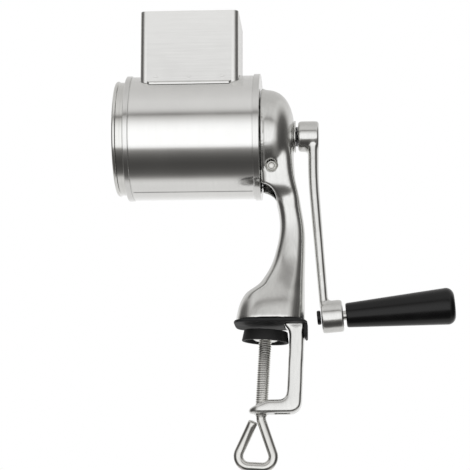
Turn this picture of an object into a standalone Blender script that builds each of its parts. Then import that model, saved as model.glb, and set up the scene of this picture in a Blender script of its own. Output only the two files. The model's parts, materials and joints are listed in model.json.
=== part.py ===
"""A hand-cranked drum grater on a table clamp, with one object for each piece.

Lengths are in metres and +Z is up. The origin is the middle of the rubber pad's underside, which rests on the
table top. +X runs along the drum's axis towards the crank, and the drum is loaded from the -X end.
"""

from math import ceil, cos, pi, radians, sin, sqrt, tan

import bmesh
import bpy
from mathutils import Matrix, Vector

MM = 0.001
GAP = 0.3 * MM  # kept between pieces that touch on the real object
CUT_PAST = 1 * MM  # how far a cutter runs past what it cuts

# Height of the drum's axis over the table, and how many flats a round piece has.
AXIS_Z = 120 * MM
ROUND = 48
MEDIUM_ROUND = 28
SMALL_ROUND = 16
SMOOTH_ANGLE = 35  # degrees, past which an edge shades sharp

# Housing: a sheet-metal barrel with a rolled front rim and a flanged back.
BARREL_R = 39 * MM
BARREL_SHEET = 0.8 * MM
RIM_LENGTH = 3.5 * MM
RIM_RAISE = 0.6 * MM
RIM_GROOVE = 0.3 * MM
BACK_FACE = -3 * MM  # the back's outer side, which the bell is screwed to
BACK_SHEET = 1 * MM
BACK_FLANGE = 3.9 * MM
BACK_FLANGE_SHEET = 0.6 * MM
BACK_HOLE_CLEARANCE = 2 * MM  # round the boss for the bush

# Hopper: a rectangular chute with a saddle that lies on the barrel. The barrel is as long as the hopper needs.
HOPPER_LENGTH = 60 * MM  # inside, along X
HOPPER_WIDTH = 50 * MM  # inside, along Y
HOPPER_SHEET = 0.8 * MM
HOPPER_CORNER = 5 * MM
HOPPER_ABOVE_BARREL = 37 * MM
TAB_REACH = 1.4 * MM  # how far the saddle passes the chute in plan
TAB_CORNER = 6 * MM  # cut off each tab corner
HOPPER_TO_BACK = 13 * MM
HOPPER_TO_FRONT = 9.4 * MM
HOPPER_X = BACK_FACE - HOPPER_TO_BACK - HOPPER_SHEET - HOPPER_LENGTH / 2
BARREL_FRONT = HOPPER_X - HOPPER_LENGTH / 2 - HOPPER_SHEET - HOPPER_TO_FRONT

# Drum: a perforated shell, a recessed back plate and a shaft with a threaded tip.
DRUM_CLEARANCE = 2.4 * MM  # from the shell to the barrel
DRUM_R = BARREL_R - BARREL_SHEET - DRUM_CLEARANCE
DRUM_SHEET = 0.7 * MM
DRUM_TO_BACK = 3.2 * MM
DRUM_STICKS_OUT = 7 * MM  # past the barrel's front
BEAD_R = 1.3 * MM
BEAD_RAISE = 0.7 * MM  # over the shell
DRUM_RECESS = 3 * MM
HOLE_R = 3 * MM
HOLE_PITCH = 8.7 * MM
HOLE_STEP = 2.8 * MM  # round the drum from one hole to the next
HOLE_STRIPS = 3
HOLE_ROWS = (8, 7)
SHAFT_R = 6.1 * MM
HUB_WASHER_R = SHAFT_R + 7.9 * MM
HUB_WASHER_T = 1.5 * MM
SHAFT_HEAD_R = SHAFT_R + 2.4 * MM
SHAFT_HEAD_T = 1.5 * MM
TIP_R = 3.5 * MM
TIP_LENGTH = 12.9 * MM
CHAMFER = 0.6 * MM

# Bell: the hollow head of the casting, which holds the shaft's bush.
BELL_R = 31 * MM
BELL_LIP = 1.3 * MM
BELL_LIP_LENGTH = 2.1 * MM
BELL_DEPTH = 18.6 * MM  # from the lip to where the dome would close
BELL_FACE = 17.6 * MM  # the flat that the steel washer runs on
BELL_WALL = 2.7 * MM
BELL_DRAFT = 0.4 * MM  # how much wider the hollow is at the mouth
BELL_CURVE = 2.5  # the dome's superellipse power
BELL_FLOOR = 13 * MM
DOME_PAST_FLOOR = 1 * MM  # where the hollow's curve would close, past its floor
BUSH_WALL = 1.6 * MM
BUSH_BOSS_WALL = 1.7 * MM
BUSH_BOSS_R = SHAFT_R + GAP + BUSH_WALL + GAP + BUSH_BOSS_WALL
BUSH_BOSS_FRONT = 3 * MM
BUSH_FLANGE_T = 1.5 * MM
ARCH_R = 9.6 * MM
ARCH_X = -5.5 * MM
ARCH_BELOW_AXIS = 41.8 * MM

# Screws that hold the housing's back to lugs in the bell, and one in the bell's side.
LUG_RING_R = 23.5 * MM
LUG_R = 4.2 * MM
LUG_DEPTH = 12 * MM
LUG_SETBACK = 0.4 * MM
LUG_ANGLES = (0, 120, 240)
SCREW_R = 2 * MM
SCREW_LENGTH = 8 * MM
SCREW_HEAD_R = 3.8 * MM
SCREW_HEAD_T = 2 * MM
SIDE_SCREW_X = 4 * MM
SIDE_SCREW_BELOW_AXIS = 22.5 * MM
SIDE_SCREW_R = 3 * MM
SIDE_SCREW_SHANK_R = 1.6 * MM
SIDE_SCREW_HEAD_T = 1.4 * MM
SIDE_SEAT_DEPTH = 1.2 * MM
SIDE_SCREW_LENGTH = 5 * MM

# Arm: (share of the axis height, millimetres) pairs that its front edge, back edge and half width pass through.
PAD_T = 1.8 * MM
ARM_FOOT_Z = PAD_T + GAP
ARM_TOP_Z = 0.933 * AXIS_Z
ARM_FRONT = (
    (0, -19.4), (0.083, -17.6), (0.158, -13.6), (0.22, -3.9), (0.358, 5), (0.517, 8.5), (0.633, 6.6), (0.7, 3),
    (0.75, -2.2), (0.933, -1),
)
ARM_BACK = ((0, 23.6), (0.208, 23.7), (0.45, 24.2), (0.65, 21.2), (0.792, 17.9), (0.933, 16.8))
ARM_HALF_WIDTH = (
    (0, 21), (0.1, 19.5), (0.217, 15.5), (0.358, 12.4), (0.5, 11.5), (0.65, 14), (0.733, 18.5), (0.933, 23),
)
ARM_LEVELS = 22
ARM_SQUARENESS = 2.8

# Clamp: the column and tongue of the casting, and the screw that leans towards the column.
COLUMN_TOP_X = (14.2 * MM, 23.5 * MM)
COLUMN_FOOT_X = (12.4 * MM, 21.4 * MM)
COLUMN_FOOT_Z = -46 * MM
COLUMN_ROOT_Z = 8 * MM
TONGUE_T = 8.6 * MM
TONGUE_WIDTH = 17 * MM
NOSE_TOP_X = 0.6 * MM  # where the tongue's top starts to slope down to its nose
NOSE_T = 3 * MM
WEB_R = 6 * MM  # the fillet from the column to the foot
WEB_ANGLE = 62
TONGUE_CORNER = 7 * MM
TONGUE_FILLET = 4 * MM
CAST_ROUND = 1.3 * MM
POCKET_X = (4.5 * MM, 14 * MM)
POCKET_HALF_WIDTH = 5 * MM
POCKET_DEPTH = 3 * MM
POCKET_CORNER = 2 * MM
CLAMP_X = -3.3 * MM  # where the screw's axis crosses the middle of the tongue
CLAMP_LEAN = 3.4  # degrees
CLAMP_R = 4 * MM
NECK_R = 2.7 * MM
RIVET_R = 4.3 * MM
RIVET_T = 1.1 * MM
CUP_DROP = 3.4 * MM  # from the pad's underside to the middle of the cup's top
CUP_TOP_R = 13.5 * MM
CUP_RIM_R = 14.6 * MM
CUP_HEIGHT = 6.8 * MM
CUP_WALL = 2 * MM
CUP_ROOF = 3 * MM
CUP_EDGE = 0.5 * MM
DISC_T = 1.5 * MM
ROD_R = 3 * MM
LOOP_BEND = 6.5 * MM
LOOP_ROOT = 5 * MM  # how far the rod runs up inside the screw
LOOP_TOP = -7.5 * MM  # along the screw's axis from the middle of the tongue
LOOP_RIGHT = 12 * MM
LOOP_LEFT = -15.8 * MM
LOOP_BOTTOM = -36.8 * MM
LOOP_END = (-4.4 * MM, -9.6 * MM)
LOOP_END_Y = -4.4 * MM  # the rod's free end lies beside its start

# Pad: wraps the column behind, with a lip that hangs down.
PAD_LEFT = -20 * MM
PAD_RIGHT = 25.3 * MM
PAD_HALF_WIDTH = 22.4 * MM
PAD_SQUARENESS = 4.5
PAD_LIP_WALL = 1.5 * MM
PAD_LIP_DROP = 8.5 * MM
PAD_LIP_REACH = 3 * MM
PAD_LIP_CORNER = 3 * MM
PAD_HOLE_CORNER = 1 * MM

# Washers between the bell and the crank, and the crank itself.
WASHER_R = SHAFT_R + 3.9 * MM
WASHER_T = 0.7 * MM
SPACER_R = 6.2 * MM
SPACER_T = 1 * MM
CRANK_BOSS_R = 9.7 * MM
CRANK_BOSS_LENGTH = 13 * MM
CRANK_BOSS_ROUND = 1.2 * MM
CRANK_CAP = 1.2 * MM
CRANK_THROW = 114.5 * MM
CRANK_ARM_SHORT = 5.5 * MM  # the arm ends inside the lower boss, clear of the spindle's cap
CRANK_LEVELS = 12
CRANK_SQUARENESS = 2.6
CRANK_ARM_X = 29.6 * MM  # the arm's middle at its top
CRANK_BEND = 0.18  # share of the arm that is straight, and as much again that bends
ARM_THICKNESS_TOP = 6.9 * MM
ARM_THICKNESS_FOOT = 5.6 * MM
ARM_WIDTH_TOP = 16 * MM
ARM_WIDTH_FOOT = 12.6 * MM

# Handle: its axis is tilted, and every length along it starts at the middle of the lower boss.
HANDLE_X = 40.6 * MM
HANDLE_TILT = 4.7  # degrees
CRANK_FOOT_INSET = 4.2 * MM  # from the lower boss's middle to the arm's
HANDLE_BOSS_R = 10 * MM
HANDLE_BOSS_LENGTH = 13.5 * MM
SPINDLE_R = 3 * MM
SPINDLE_LENGTH = 72 * MM
CAP_R = 4.4 * MM
CAP_T = 2.4 * MM
GRIP_CLEAR = 1.8 * MM  # of spindle seen between the boss and the grip
GRIP_LENGTH = 67.2 * MM
GRIP_NECK_R = 7.6 * MM
GRIP_END_R = 11.4 * MM
GRIP_END_ROUND = 5 * MM
GRIP_NECK_ROUND = 1.2 * MM


def material(name, colour, roughness, metallic):
    made = bpy.data.materials.new(name)
    made.use_nodes = True
    made.diffuse_color = (*colour, 1)
    shader = made.node_tree.nodes["Principled BSDF"]
    shader.inputs["Base Color"].default_value = (*colour, 1)
    shader.inputs["Roughness"].default_value = roughness
    shader.inputs["Metallic"].default_value = metallic
    return made


def axis_empty(name, location, lean_degrees=0, parent=None):
    """An empty on a joint's axis, leaning about Y."""
    empty = bpy.data.objects.new(name, None)
    empty.location = location
    empty.rotation_euler = (0, radians(lean_degrees), 0)
    empty.parent = parent
    bpy.context.scene.collection.objects.link(empty)
    return empty


def finished(name, bm, look, parent=None, location=(0, 0, 0)):
    """The object made from a bmesh, shaded smooth where it is round."""
    bmesh.ops.remove_doubles(bm, verts=bm.verts, dist=1e-7)
    bmesh.ops.recalc_face_normals(bm, faces=bm.faces)
    mesh = bpy.data.meshes.new(name)
    bm.to_mesh(mesh)
    bm.free()
    mesh.shade_smooth()
    mesh.set_sharp_from_angle(angle=radians(SMOOTH_ANGLE))
    if look:
        mesh.materials.append(look)
    made = bpy.data.objects.new(name, mesh)
    made.location = location
    made.parent = parent
    bpy.context.scene.collection.objects.link(made)
    return made


def tool(name, bm, parent=None, location=(0, 0, 0)):
    """A shape that only cuts or adds to another object."""
    made = finished(name, bm, None, parent, location)
    made.hide_render = True
    made.display_type = "WIRE"
    return made


def combine(target, other, operation):
    modifier = target.modifiers.new(f"{operation.lower()} {other.name}", "BOOLEAN")
    modifier.operation = operation
    modifier.object = other
    return modifier


def turned(profile, along="X", closed=False, flats=ROUND):
    """A solid of revolution of (place, radius) points about X or Z.

    An open profile starts and ends on the axis, and a closed one goes round the wall of a ring.
    """
    bm = bmesh.new()
    spots = [(a, 0, r) if along == "X" else (r, 0, a) for a, r in profile]
    verts = [bm.verts.new(spot) for spot in spots]
    edges = [bm.edges.new(pair) for pair in zip(verts, verts[1:])]
    if closed:
        edges.append(bm.edges.new((verts[-1], verts[0])))
    axis = (1, 0, 0) if along == "X" else (0, 0, 1)
    bmesh.ops.spin(
        bm, geom=verts + edges, cent=(0, 0, 0), axis=axis, angle=2 * pi, steps=flats, use_merge=True
    )
    return bm


def arc(centre, radius, start, end, steps=8):
    """Points of a profile on an arc, with the angles in degrees."""
    turns = [radians(start + (end - start) * i / steps) for i in range(steps + 1)]
    return [(centre[0] + radius * cos(t), centre[1] + radius * sin(t)) for t in turns]


def through(points, place):
    """The smooth curve through (place, value) points, which never overshoots them."""
    spans = [
        ((b[1] - a[1]) / (b[0] - a[0]), b[0] - a[0]) for a, b in zip(points, points[1:])
    ]
    slopes = [spans[0][0]]
    for (before, _), (after, _) in zip(spans, spans[1:]):
        slopes.append(0 if before * after <= 0 else 2 * before * after / (before + after))
    slopes.append(spans[-1][0])
    place = min(max(place, points[0][0]), points[-1][0])
    i = next(i for i, point in enumerate(points[1:]) if place <= point[0])
    step = spans[i][1]
    t = (place - points[i][0]) / step
    return (
        points[i][1] * (1 + 2 * t) * (1 - t) ** 2
        + slopes[i] * step * t * (1 - t) ** 2
        + points[i + 1][1] * t * t * (3 - 2 * t)
        + slopes[i + 1] * step * t * t * (t - 1)
    )


def superellipse(x_low, x_high, half_width, power, count=28):
    """(x, y) points of a rounded rectangle with these sides."""
    middle, half = (x_low + x_high) / 2, (x_high - x_low) / 2
    points = []
    for i in range(count):
        c, s = cos(2 * pi * i / count), sin(2 * pi * i / count)
        x = abs(c) ** (2 / power) * (1 if c > 0 else -1)
        y = abs(s) ** (2 / power) * (1 if s > 0 else -1)
        points.append((middle + half * x, half_width * y))
    return points


def lofted(levels):
    """A solid through (height, outline) levels, all with as many points."""
    bm = bmesh.new()
    rings = [[bm.verts.new((x, y, z)) for x, y in outline] for z, outline in levels]
    for low, high in zip(rings, rings[1:]):
        for i in range(len(low)):
            j = (i + 1) % len(low)
            bm.faces.new((low[i], low[j], high[j], high[i]))
    bm.faces.new(rings[0][::-1])
    bm.faces.new(rings[-1])
    return bm


def slab(outline, low, high, plane="XY", round_by=0.0, round_steps=3):
    """An outline in the XY or XZ plane pulled from low to high, with its two rims rounded."""
    bm = bmesh.new()
    spots = [(a, b, low) if plane == "XY" else (a, low, b) for a, b in outline]
    face = bm.faces.new([bm.verts.new(spot) for spot in spots])
    pulled = bmesh.ops.extrude_face_region(bm, geom=[face])["geom"]
    reach = (0, 0, high - low) if plane == "XY" else (0, high - low, 0)
    moved = [g for g in pulled if isinstance(g, bmesh.types.BMVert)]
    bmesh.ops.translate(bm, verts=moved, vec=reach)
    bmesh.ops.recalc_face_normals(bm, faces=bm.faces)
    if round_by:
        axis = 2 if plane == "XY" else 1
        rims = [e for e in bm.edges if abs(e.verts[0].co[axis] - e.verts[1].co[axis]) < 1e-9]
        bmesh.ops.bevel(
            bm, geom=rims, offset=round_by, segments=round_steps, profile=0.5, affect="EDGES", material=-1
        )
    return bm


def rounded_box(x_low, x_high, y_low, y_high, corner, steps=6):
    """(x, y) points of a rectangle with round corners."""
    return [
        point
        for centre, start in (
            ((x_high - corner, y_high - corner), 0),
            ((x_low + corner, y_high - corner), 90),
            ((x_low + corner, y_low + corner), 180),
            ((x_high - corner, y_low + corner), 270),
        )
        for point in arc(centre, corner, start, start + 90, steps)
    ]


def rods(places, flats=SMALL_ROUND):
    """Separate cylinders in one bmesh, each from (start, end, radius)."""
    bm = bmesh.new()
    for start, end, radius in places:
        start, end = Vector(start), Vector(end)
        turn = (end - start).to_track_quat("Z", "Y").to_matrix().to_4x4()
        bmesh.ops.create_cone(
            bm,
            cap_ends=True,
            segments=flats,
            radius1=radius,
            radius2=radius,
            depth=(end - start).length,
            matrix=Matrix.Translation((start + end) / 2) @ turn,
        )
    return bm


def on_ring(x, radius, degrees_from_top):
    """A point round the drum's axis."""
    turn = radians(degrees_from_top)
    return Vector((x, radius * sin(turn), radius * cos(turn)))


def lug_rods(low, high, radius):
    """A rod on the line of each screw that holds the housing."""
    return [(on_ring(low, LUG_RING_R, a), on_ring(high, LUG_RING_R, a), radius) for a in LUG_ANGLES]


# Housing ------------------------------------------------------------------------------------------------------


def housing_barrel(look):
    inner = BARREL_R - BARREL_SHEET
    groove = BARREL_FRONT + RIM_LENGTH
    rear = BACK_FACE - BACK_SHEET - GAP
    roll = arc((BARREL_FRONT + RIM_RAISE, BARREL_R), RIM_RAISE, 180, 90, 4)
    shoulder = arc((groove - RIM_RAISE, BARREL_R), RIM_RAISE, 90, 0, 4)
    profile = [(BARREL_FRONT, inner), *roll, *shoulder]
    profile += [(groove, BARREL_R - RIM_GROOVE), (groove + RIM_GROOVE, BARREL_R - RIM_GROOVE)]
    profile += [(groove + 2 * RIM_GROOVE, BARREL_R), (rear, BARREL_R), (rear, inner)]
    barrel = finished("housing_barrel", turned(profile, closed=True), look, location=(0, 0, AXIS_Z))
    half = HOPPER_LENGTH / 2
    mouth = rounded_box(
        HOPPER_X - half, HOPPER_X + half, -HOPPER_WIDTH / 2, HOPPER_WIDTH / 2, HOPPER_CORNER
    )
    combine(barrel, tool("barrel_mouth", slab(mouth, AXIS_Z, AXIS_Z + 2 * BARREL_R)), "DIFFERENCE")
    return barrel


def housing_back(look):
    flange_r = BARREL_R + GAP
    outer_r = flange_r + BACK_FLANGE_SHEET
    inside = BACK_FACE - BACK_SHEET
    lip = BACK_FACE - BACK_FLANGE
    hole_r = BUSH_BOSS_R + BACK_HOLE_CLEARANCE
    profile = [(lip, flange_r), (lip, outer_r), (BACK_FACE, outer_r)]
    profile += [(BACK_FACE, hole_r), (inside, hole_r), (inside, flange_r)]
    back = finished("housing_back", turned(profile, closed=True), look, location=(0, 0, AXIS_Z))
    places = lug_rods(inside - CUT_PAST, BACK_FACE + CUT_PAST, SCREW_R + GAP)
    combine(back, tool("back_screw_holes", rods(places), location=(0, 0, AXIS_Z)), "DIFFERENCE")
    return back


def hopper(look):
    """The chute and its saddle, which stops GAP above the barrel."""
    half_length, half_width = HOPPER_LENGTH / 2, HOPPER_WIDTH / 2
    seat_r = BARREL_R + GAP
    low, high = AXIS_Z + seat_r / 2, AXIS_Z + BARREL_R + HOPPER_ABOVE_BARREL
    outside = rounded_box(
        HOPPER_X - half_length - HOPPER_SHEET,
        HOPPER_X + half_length + HOPPER_SHEET,
        -half_width - HOPPER_SHEET,
        half_width + HOPPER_SHEET,
        HOPPER_CORNER + HOPPER_SHEET,
    )
    inside = rounded_box(
        HOPPER_X - half_length, HOPPER_X + half_length, -half_width, half_width, HOPPER_CORNER
    )
    chute = finished("hopper", slab(outside, low, high), look)
    front, rear = HOPPER_X - HOPPER_LENGTH, HOPPER_X + HOPPER_LENGTH
    barrel_space = turned([(front, 0), (front, seat_r), (rear, seat_r), (rear, 0)])
    combine(chute, tool("hopper_barrel_space", barrel_space, location=(0, 0, AXIS_Z)), "DIFFERENCE")
    saddle_r = seat_r + HOPPER_SHEET
    sheet = [(front, seat_r), (front, saddle_r), (rear, saddle_r), (rear, seat_r)]
    saddle = tool("hopper_saddle", turned(sheet, closed=True), location=(0, 0, AXIS_Z))
    wide = half_length + HOPPER_SHEET
    deep = half_width + TAB_REACH
    plan = [(wide, deep - TAB_CORNER), (wide - TAB_CORNER, deep), (TAB_CORNER - wide, deep)]
    plan += [(-wide, deep - TAB_CORNER)]
    plan += [(-x, -y) for x, y in plan]
    plan = [(HOPPER_X + x, y) for x, y in plan]
    combine(saddle, tool("hopper_saddle_plan", slab(plan, low, high)), "INTERSECT")
    combine(chute, saddle, "UNION")
    hollow = slab(inside, AXIS_Z, high + CUT_PAST)
    combine(chute, tool("hopper_inside", hollow), "DIFFERENCE")
    return chute


# Casting ------------------------------------------------------------------------------------------------------


def dome(mouth_r, start, depth, stop, steps=7):
    """(x, r) points of the bell's curve from its mouth to a flat at stop."""
    points = []
    for i in range(steps + 1):
        x = start + (stop - start) * sin(pi / 2 * i / steps)
        share = (x - start) / depth
        points.append((x, mouth_r * (1 - share**BELL_CURVE) ** (1 / BELL_CURVE)))
    return points


def bell_outside():
    mouth = BACK_FACE + GAP
    body_r = BELL_R - BELL_LIP
    start = mouth + BELL_LIP_LENGTH
    curve = dome(body_r, start, BELL_DEPTH, BELL_FACE)
    return turned([(mouth, 0), (mouth, BELL_R), (start - BELL_LIP / 2, BELL_R), *curve, (BELL_FACE, 0)])


def bell_inside():
    mouth = BACK_FACE + GAP
    inner_r = BELL_R - BELL_LIP - BELL_WALL
    start = mouth + BELL_LIP_LENGTH
    curve = [p for p in dome(inner_r, start, BELL_FLOOR - start + DOME_PAST_FLOOR, BELL_FLOOR) if p[1] > BUSH_BOSS_R]
    last_x = curve[-1][0]
    profile = [(mouth - CUT_PAST, 0), (mouth - CUT_PAST, inner_r + BELL_DRAFT), *curve, (last_x, BUSH_BOSS_R)]
    return turned([*profile, (BUSH_BOSS_FRONT, BUSH_BOSS_R), (BUSH_BOSS_FRONT, 0)])


def arm_outline(z):
    """The arm's section at a height, as (x, y) points."""
    level = z / AXIS_Z
    return superellipse(
        through(ARM_FRONT, level) * MM,
        through(ARM_BACK, level) * MM,
        through(ARM_HALF_WIDTH, level) * MM,
        ARM_SQUARENESS,
    )


def column_outline():
    """The side view of the column and tongue, as (x, z) points."""
    top_z, under_z = COLUMN_FOOT_Z, COLUMN_FOOT_Z - TONGUE_T
    fillet = arc((COLUMN_FOOT_X[0] - TONGUE_FILLET, top_z + TONGUE_FILLET), TONGUE_FILLET, -90, 0, 5)
    corner = arc((COLUMN_FOOT_X[1] - TONGUE_CORNER, under_z + TONGUE_CORNER), TONGUE_CORNER, 0, -90, 7)
    web = arc((COLUMN_TOP_X[0] - WEB_R, -WEB_R), WEB_R, 0, WEB_ANGLE, 6)
    points = [(nose_x(), under_z + NOSE_T), (NOSE_TOP_X, top_z), *fillet, *web, (web[-1][0], COLUMN_ROOT_Z)]
    points += [(COLUMN_TOP_X[1], COLUMN_ROOT_Z), (COLUMN_TOP_X[1], 0), *corner]
    return [*points, (nose_x(), under_z)]


def nose_x():
    """The tongue's free end, which is round in plan."""
    return CLAMP_X - TONGUE_WIDTH / 2


def frame_casting(look, clamp_axis):
    casting = finished("frame_casting", bell_outside(), look, location=(0, 0, AXIS_Z))
    step = (ARM_TOP_Z - ARM_FOOT_Z) / ARM_LEVELS
    heights = [ARM_FOOT_Z + step * i for i in range(ARM_LEVELS + 1)]
    arm = tool("casting_arm", lofted([(z, arm_outline(z)) for z in heights]))
    half = TONGUE_WIDTH / 2
    column = tool("casting_column", slab(column_outline(), -half, half, "XZ", CAST_ROUND))
    plan = [*arc((CLAMP_X, 0), half - GAP / 4, 90, 270, 20), (COLUMN_TOP_X[1] + half, -2 * half)]
    plan = [*plan, (COLUMN_TOP_X[1] + half, 2 * half)]
    round_end = tool("column_plan", slab(plan, COLUMN_FOOT_Z - 2 * TONGUE_T, 2 * COLUMN_ROOT_Z))
    inside = tool("casting_hollow", bell_inside(), location=(0, 0, AXIS_Z))
    arch_z = AXIS_Z - ARCH_BELOW_AXIS
    arch = rods([((ARCH_X, -BELL_R, arch_z), (ARCH_X, BELL_R, arch_z), ARCH_R)], flats=MEDIUM_ROUND)
    front = BACK_FACE + GAP + LUG_SETBACK
    lugs = lug_rods(front, front + LUG_DEPTH, LUG_R)
    combine(column, round_end, "INTERSECT")
    combine(inside, tool("casting_lugs", rods(lugs), location=(0, 0, AXIS_Z)), "DIFFERENCE")
    combine(arm, column, "UNION")
    combine(casting, arm, "UNION")
    combine(casting, tool("casting_arch", arch), "DIFFERENCE")
    combine(casting, tool("casting_bores", casting_bores(), location=(0, 0, AXIS_Z)), "DIFFERENCE")
    pocket = rounded_box(*POCKET_X, -POCKET_HALF_WIDTH, POCKET_HALF_WIDTH, POCKET_CORNER, 4)
    under_z = COLUMN_FOOT_Z - TONGUE_T
    hollow = slab(pocket, under_z - POCKET_DEPTH, under_z + POCKET_DEPTH)
    combine(casting, tool("tongue_pocket", hollow), "DIFFERENCE")
    screw_way = rods([((0, 0, -TONGUE_T), (0, 0, TONGUE_T), CLAMP_R + GAP)])
    combine(casting, tool("tongue_bore", screw_way, clamp_axis), "DIFFERENCE")
    combine(casting, inside, "DIFFERENCE")
    return casting


def side_seat_y():
    """Where the bell's side screw sits: the Y of the bell's surface there, less the seat."""
    share = (SIDE_SCREW_X - BACK_FACE - GAP - BELL_LIP_LENGTH) / BELL_DEPTH
    radius = (BELL_R - BELL_LIP) * (1 - share**BELL_CURVE) ** (1 / BELL_CURVE)
    return sqrt(radius**2 - SIDE_SCREW_BELOW_AXIS**2) - SIDE_SEAT_DEPTH


def casting_bores():
    """The bush's bore, the lugs' screw holes and the side screw's seat and hole, from the drum's axis."""
    mouth = BACK_FACE + GAP
    bush_r = SHAFT_R + GAP + BUSH_WALL + GAP
    places = [((BUSH_BOSS_FRONT - CUT_PAST, 0, 0), (BELL_FACE + CUT_PAST, 0, 0), bush_r)]
    reach = mouth + SCREW_LENGTH + GAP
    places += lug_rods(mouth - CUT_PAST, reach, SCREW_R + GAP)
    bm = rods(places)
    seat_r, bore = SIDE_SCREW_R + 2 * GAP, SIDE_SCREW_SHANK_R + GAP
    deep = 2 * SIDE_SCREW_LENGTH
    seat = [(-SIDE_SCREW_LENGTH, 0), (-SIDE_SCREW_LENGTH, seat_r), (0, seat_r)]
    seat += [(0, bore), (deep, bore), (deep, 0)]
    pocket = turned(seat, flats=SMALL_ROUND)
    bmesh.ops.remove_doubles(pocket, verts=pocket.verts, dist=1e-7)
    place = Matrix.Translation((SIDE_SCREW_X, -side_seat_y(), -SIDE_SCREW_BELOW_AXIS))
    bmesh.ops.transform(pocket, matrix=place @ Matrix.Rotation(pi / 2, 4, "Z"), verts=pocket.verts)
    joined = bpy.data.meshes.new("side_seat")
    pocket.to_mesh(joined)
    pocket.free()
    bm.from_mesh(joined)
    bpy.data.meshes.remove(joined)
    return bm


def screw_profile(head_r, head_t, shank_r, length):
    """A round-headed screw along X, with its head's seat at 0 and its shank towards +X."""
    round_by = head_t / 2
    profile = [(-head_t, 0), *arc((-head_t + round_by, head_r - round_by), round_by, 180, 90, 3)]
    profile += [(0, head_r), (0, shank_r), (length - CHAMFER, shank_r), (length, shank_r - CHAMFER)]
    return [*profile, (length, 0)]


def housing_screws(look):
    seat = BACK_FACE - BACK_SHEET - GAP
    length = SCREW_LENGTH + BACK_SHEET
    profile = screw_profile(SCREW_HEAD_R, SCREW_HEAD_T, SCREW_R, length)
    for number, angle in enumerate(LUG_ANGLES, 1):
        place = on_ring(seat, LUG_RING_R, angle) + Vector((0, 0, AXIS_Z))
        finished(f"housing_screw_{number}", turned(profile, flats=SMALL_ROUND), look, location=place)


def bell_side_screw(look):
    profile = screw_profile(SIDE_SCREW_R, SIDE_SCREW_HEAD_T, SIDE_SCREW_SHANK_R, SIDE_SCREW_LENGTH)
    place = (SIDE_SCREW_X, -side_seat_y() - GAP, AXIS_Z - SIDE_SCREW_BELOW_AXIS)
    screw = finished("bell_side_screw", turned(profile, flats=SMALL_ROUND), look, location=place)
    screw.rotation_euler = (0, 0, pi / 2)


def shaft_bush(look):
    bore, outer = SHAFT_R + GAP, SHAFT_R + GAP + BUSH_WALL
    front = BUSH_BOSS_FRONT - GAP
    profile = [(front - BUSH_FLANGE_T, bore), (front - BUSH_FLANGE_T, BUSH_BOSS_R), (front, BUSH_BOSS_R)]
    profile += [(front, outer), (BELL_FACE - GAP, outer), (BELL_FACE - GAP, bore)]
    finished("shaft_bush", turned(profile, closed=True, flats=MEDIUM_ROUND), look, location=(0, 0, AXIS_Z))


def rubber_pad(look):
    outline = superellipse(PAD_LEFT, PAD_RIGHT, PAD_HALF_WIDTH, PAD_SQUARENESS, 32)
    pad = finished("rubber_pad", slab(outline, 0, PAD_T), look)
    half = TONGUE_WIDTH / 2 + GAP
    lip_half = half + PAD_LIP_WALL
    lip_left = PAD_RIGHT - PAD_LIP_WALL - PAD_LIP_REACH
    corner_y, corner_z = lip_half - PAD_LIP_CORNER, PAD_LIP_CORNER - PAD_LIP_DROP
    drop = [(-lip_half, PAD_T), *arc((-corner_y, corner_z), PAD_LIP_CORNER, 180, 270, 5)]
    drop += [*arc((corner_y, corner_z), PAD_LIP_CORNER, 270, 360, 5), (lip_half, PAD_T)]
    bm = slab(drop, lip_left, PAD_RIGHT, "XZ")
    bmesh.ops.rotate(bm, verts=bm.verts, cent=(0, 0, 0), matrix=Matrix.Rotation(-pi / 2, 3, "Z"))
    combine(pad, tool("pad_lip", bm), "UNION")
    hole_left = COLUMN_TOP_X[0] - WEB_R * (1 - cos(radians(WEB_ANGLE))) - GAP
    hole = rounded_box(hole_left, COLUMN_TOP_X[1] + GAP, -half, half, PAD_HOLE_CORNER)
    combine(pad, tool("pad_column_hole", slab(hole, -2 * PAD_LIP_DROP, 2 * PAD_T)), "DIFFERENCE")


# Drum ---------------------------------------------------------------------------------------------------------


def drum_front():
    return BARREL_FRONT - DRUM_STICKS_OUT


def drum_rear():
    return BACK_FACE - BACK_SHEET - DRUM_TO_BACK


def bead_centre_r():
    return DRUM_R + BEAD_RAISE - BEAD_R


def angle_at(radius):
    """How far below or above the bead's middle, in degrees, its circle meets a radius from the drum's axis."""
    rise = (radius - bead_centre_r()) / BEAD_R
    return Vector((sqrt(1 - rise * rise), rise)).angle_signed(Vector((1, 0))) * 180 / pi


def drum_shell(look, axis):
    inner = DRUM_R - DRUM_SHEET
    centre = (drum_front() + BEAD_R, bead_centre_r())
    rear = drum_rear() - 2 * BEAD_R - GAP
    roll = arc(centre, BEAD_R, angle_at(DRUM_R), 360 + angle_at(inner), 7)
    shell = finished("drum_shell", turned([*roll, (rear, inner), (rear, DRUM_R)], closed=True), look, axis)
    combine(shell, tool("drum_holes", rods(drum_hole_places(), flats=8), axis), "DIFFERENCE")
    return shell


def drum_hole_places():
    """Two staggered rows in each strip, both slanting round the drum."""
    middle = (drum_front() + drum_rear()) / 2
    row_gap = HOLE_PITCH * sqrt(3) / 2
    places = []
    for strip in range(HOLE_STRIPS):
        for row, count in enumerate(HOLE_ROWS):
            for i in range(count):
                along = (i - (count - 1) / 2) * HOLE_PITCH
                round_by = (along / HOLE_PITCH) * HOLE_STEP + (row - 0.5) * row_gap
                turn = 360 / HOLE_STRIPS * strip + round_by / DRUM_R * 180 / pi
                ends = [on_ring(middle + along, DRUM_R + reach, turn) for reach in (-HOLE_R, HOLE_R)]
                places.append((*ends, HOLE_R))
    return places


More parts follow.
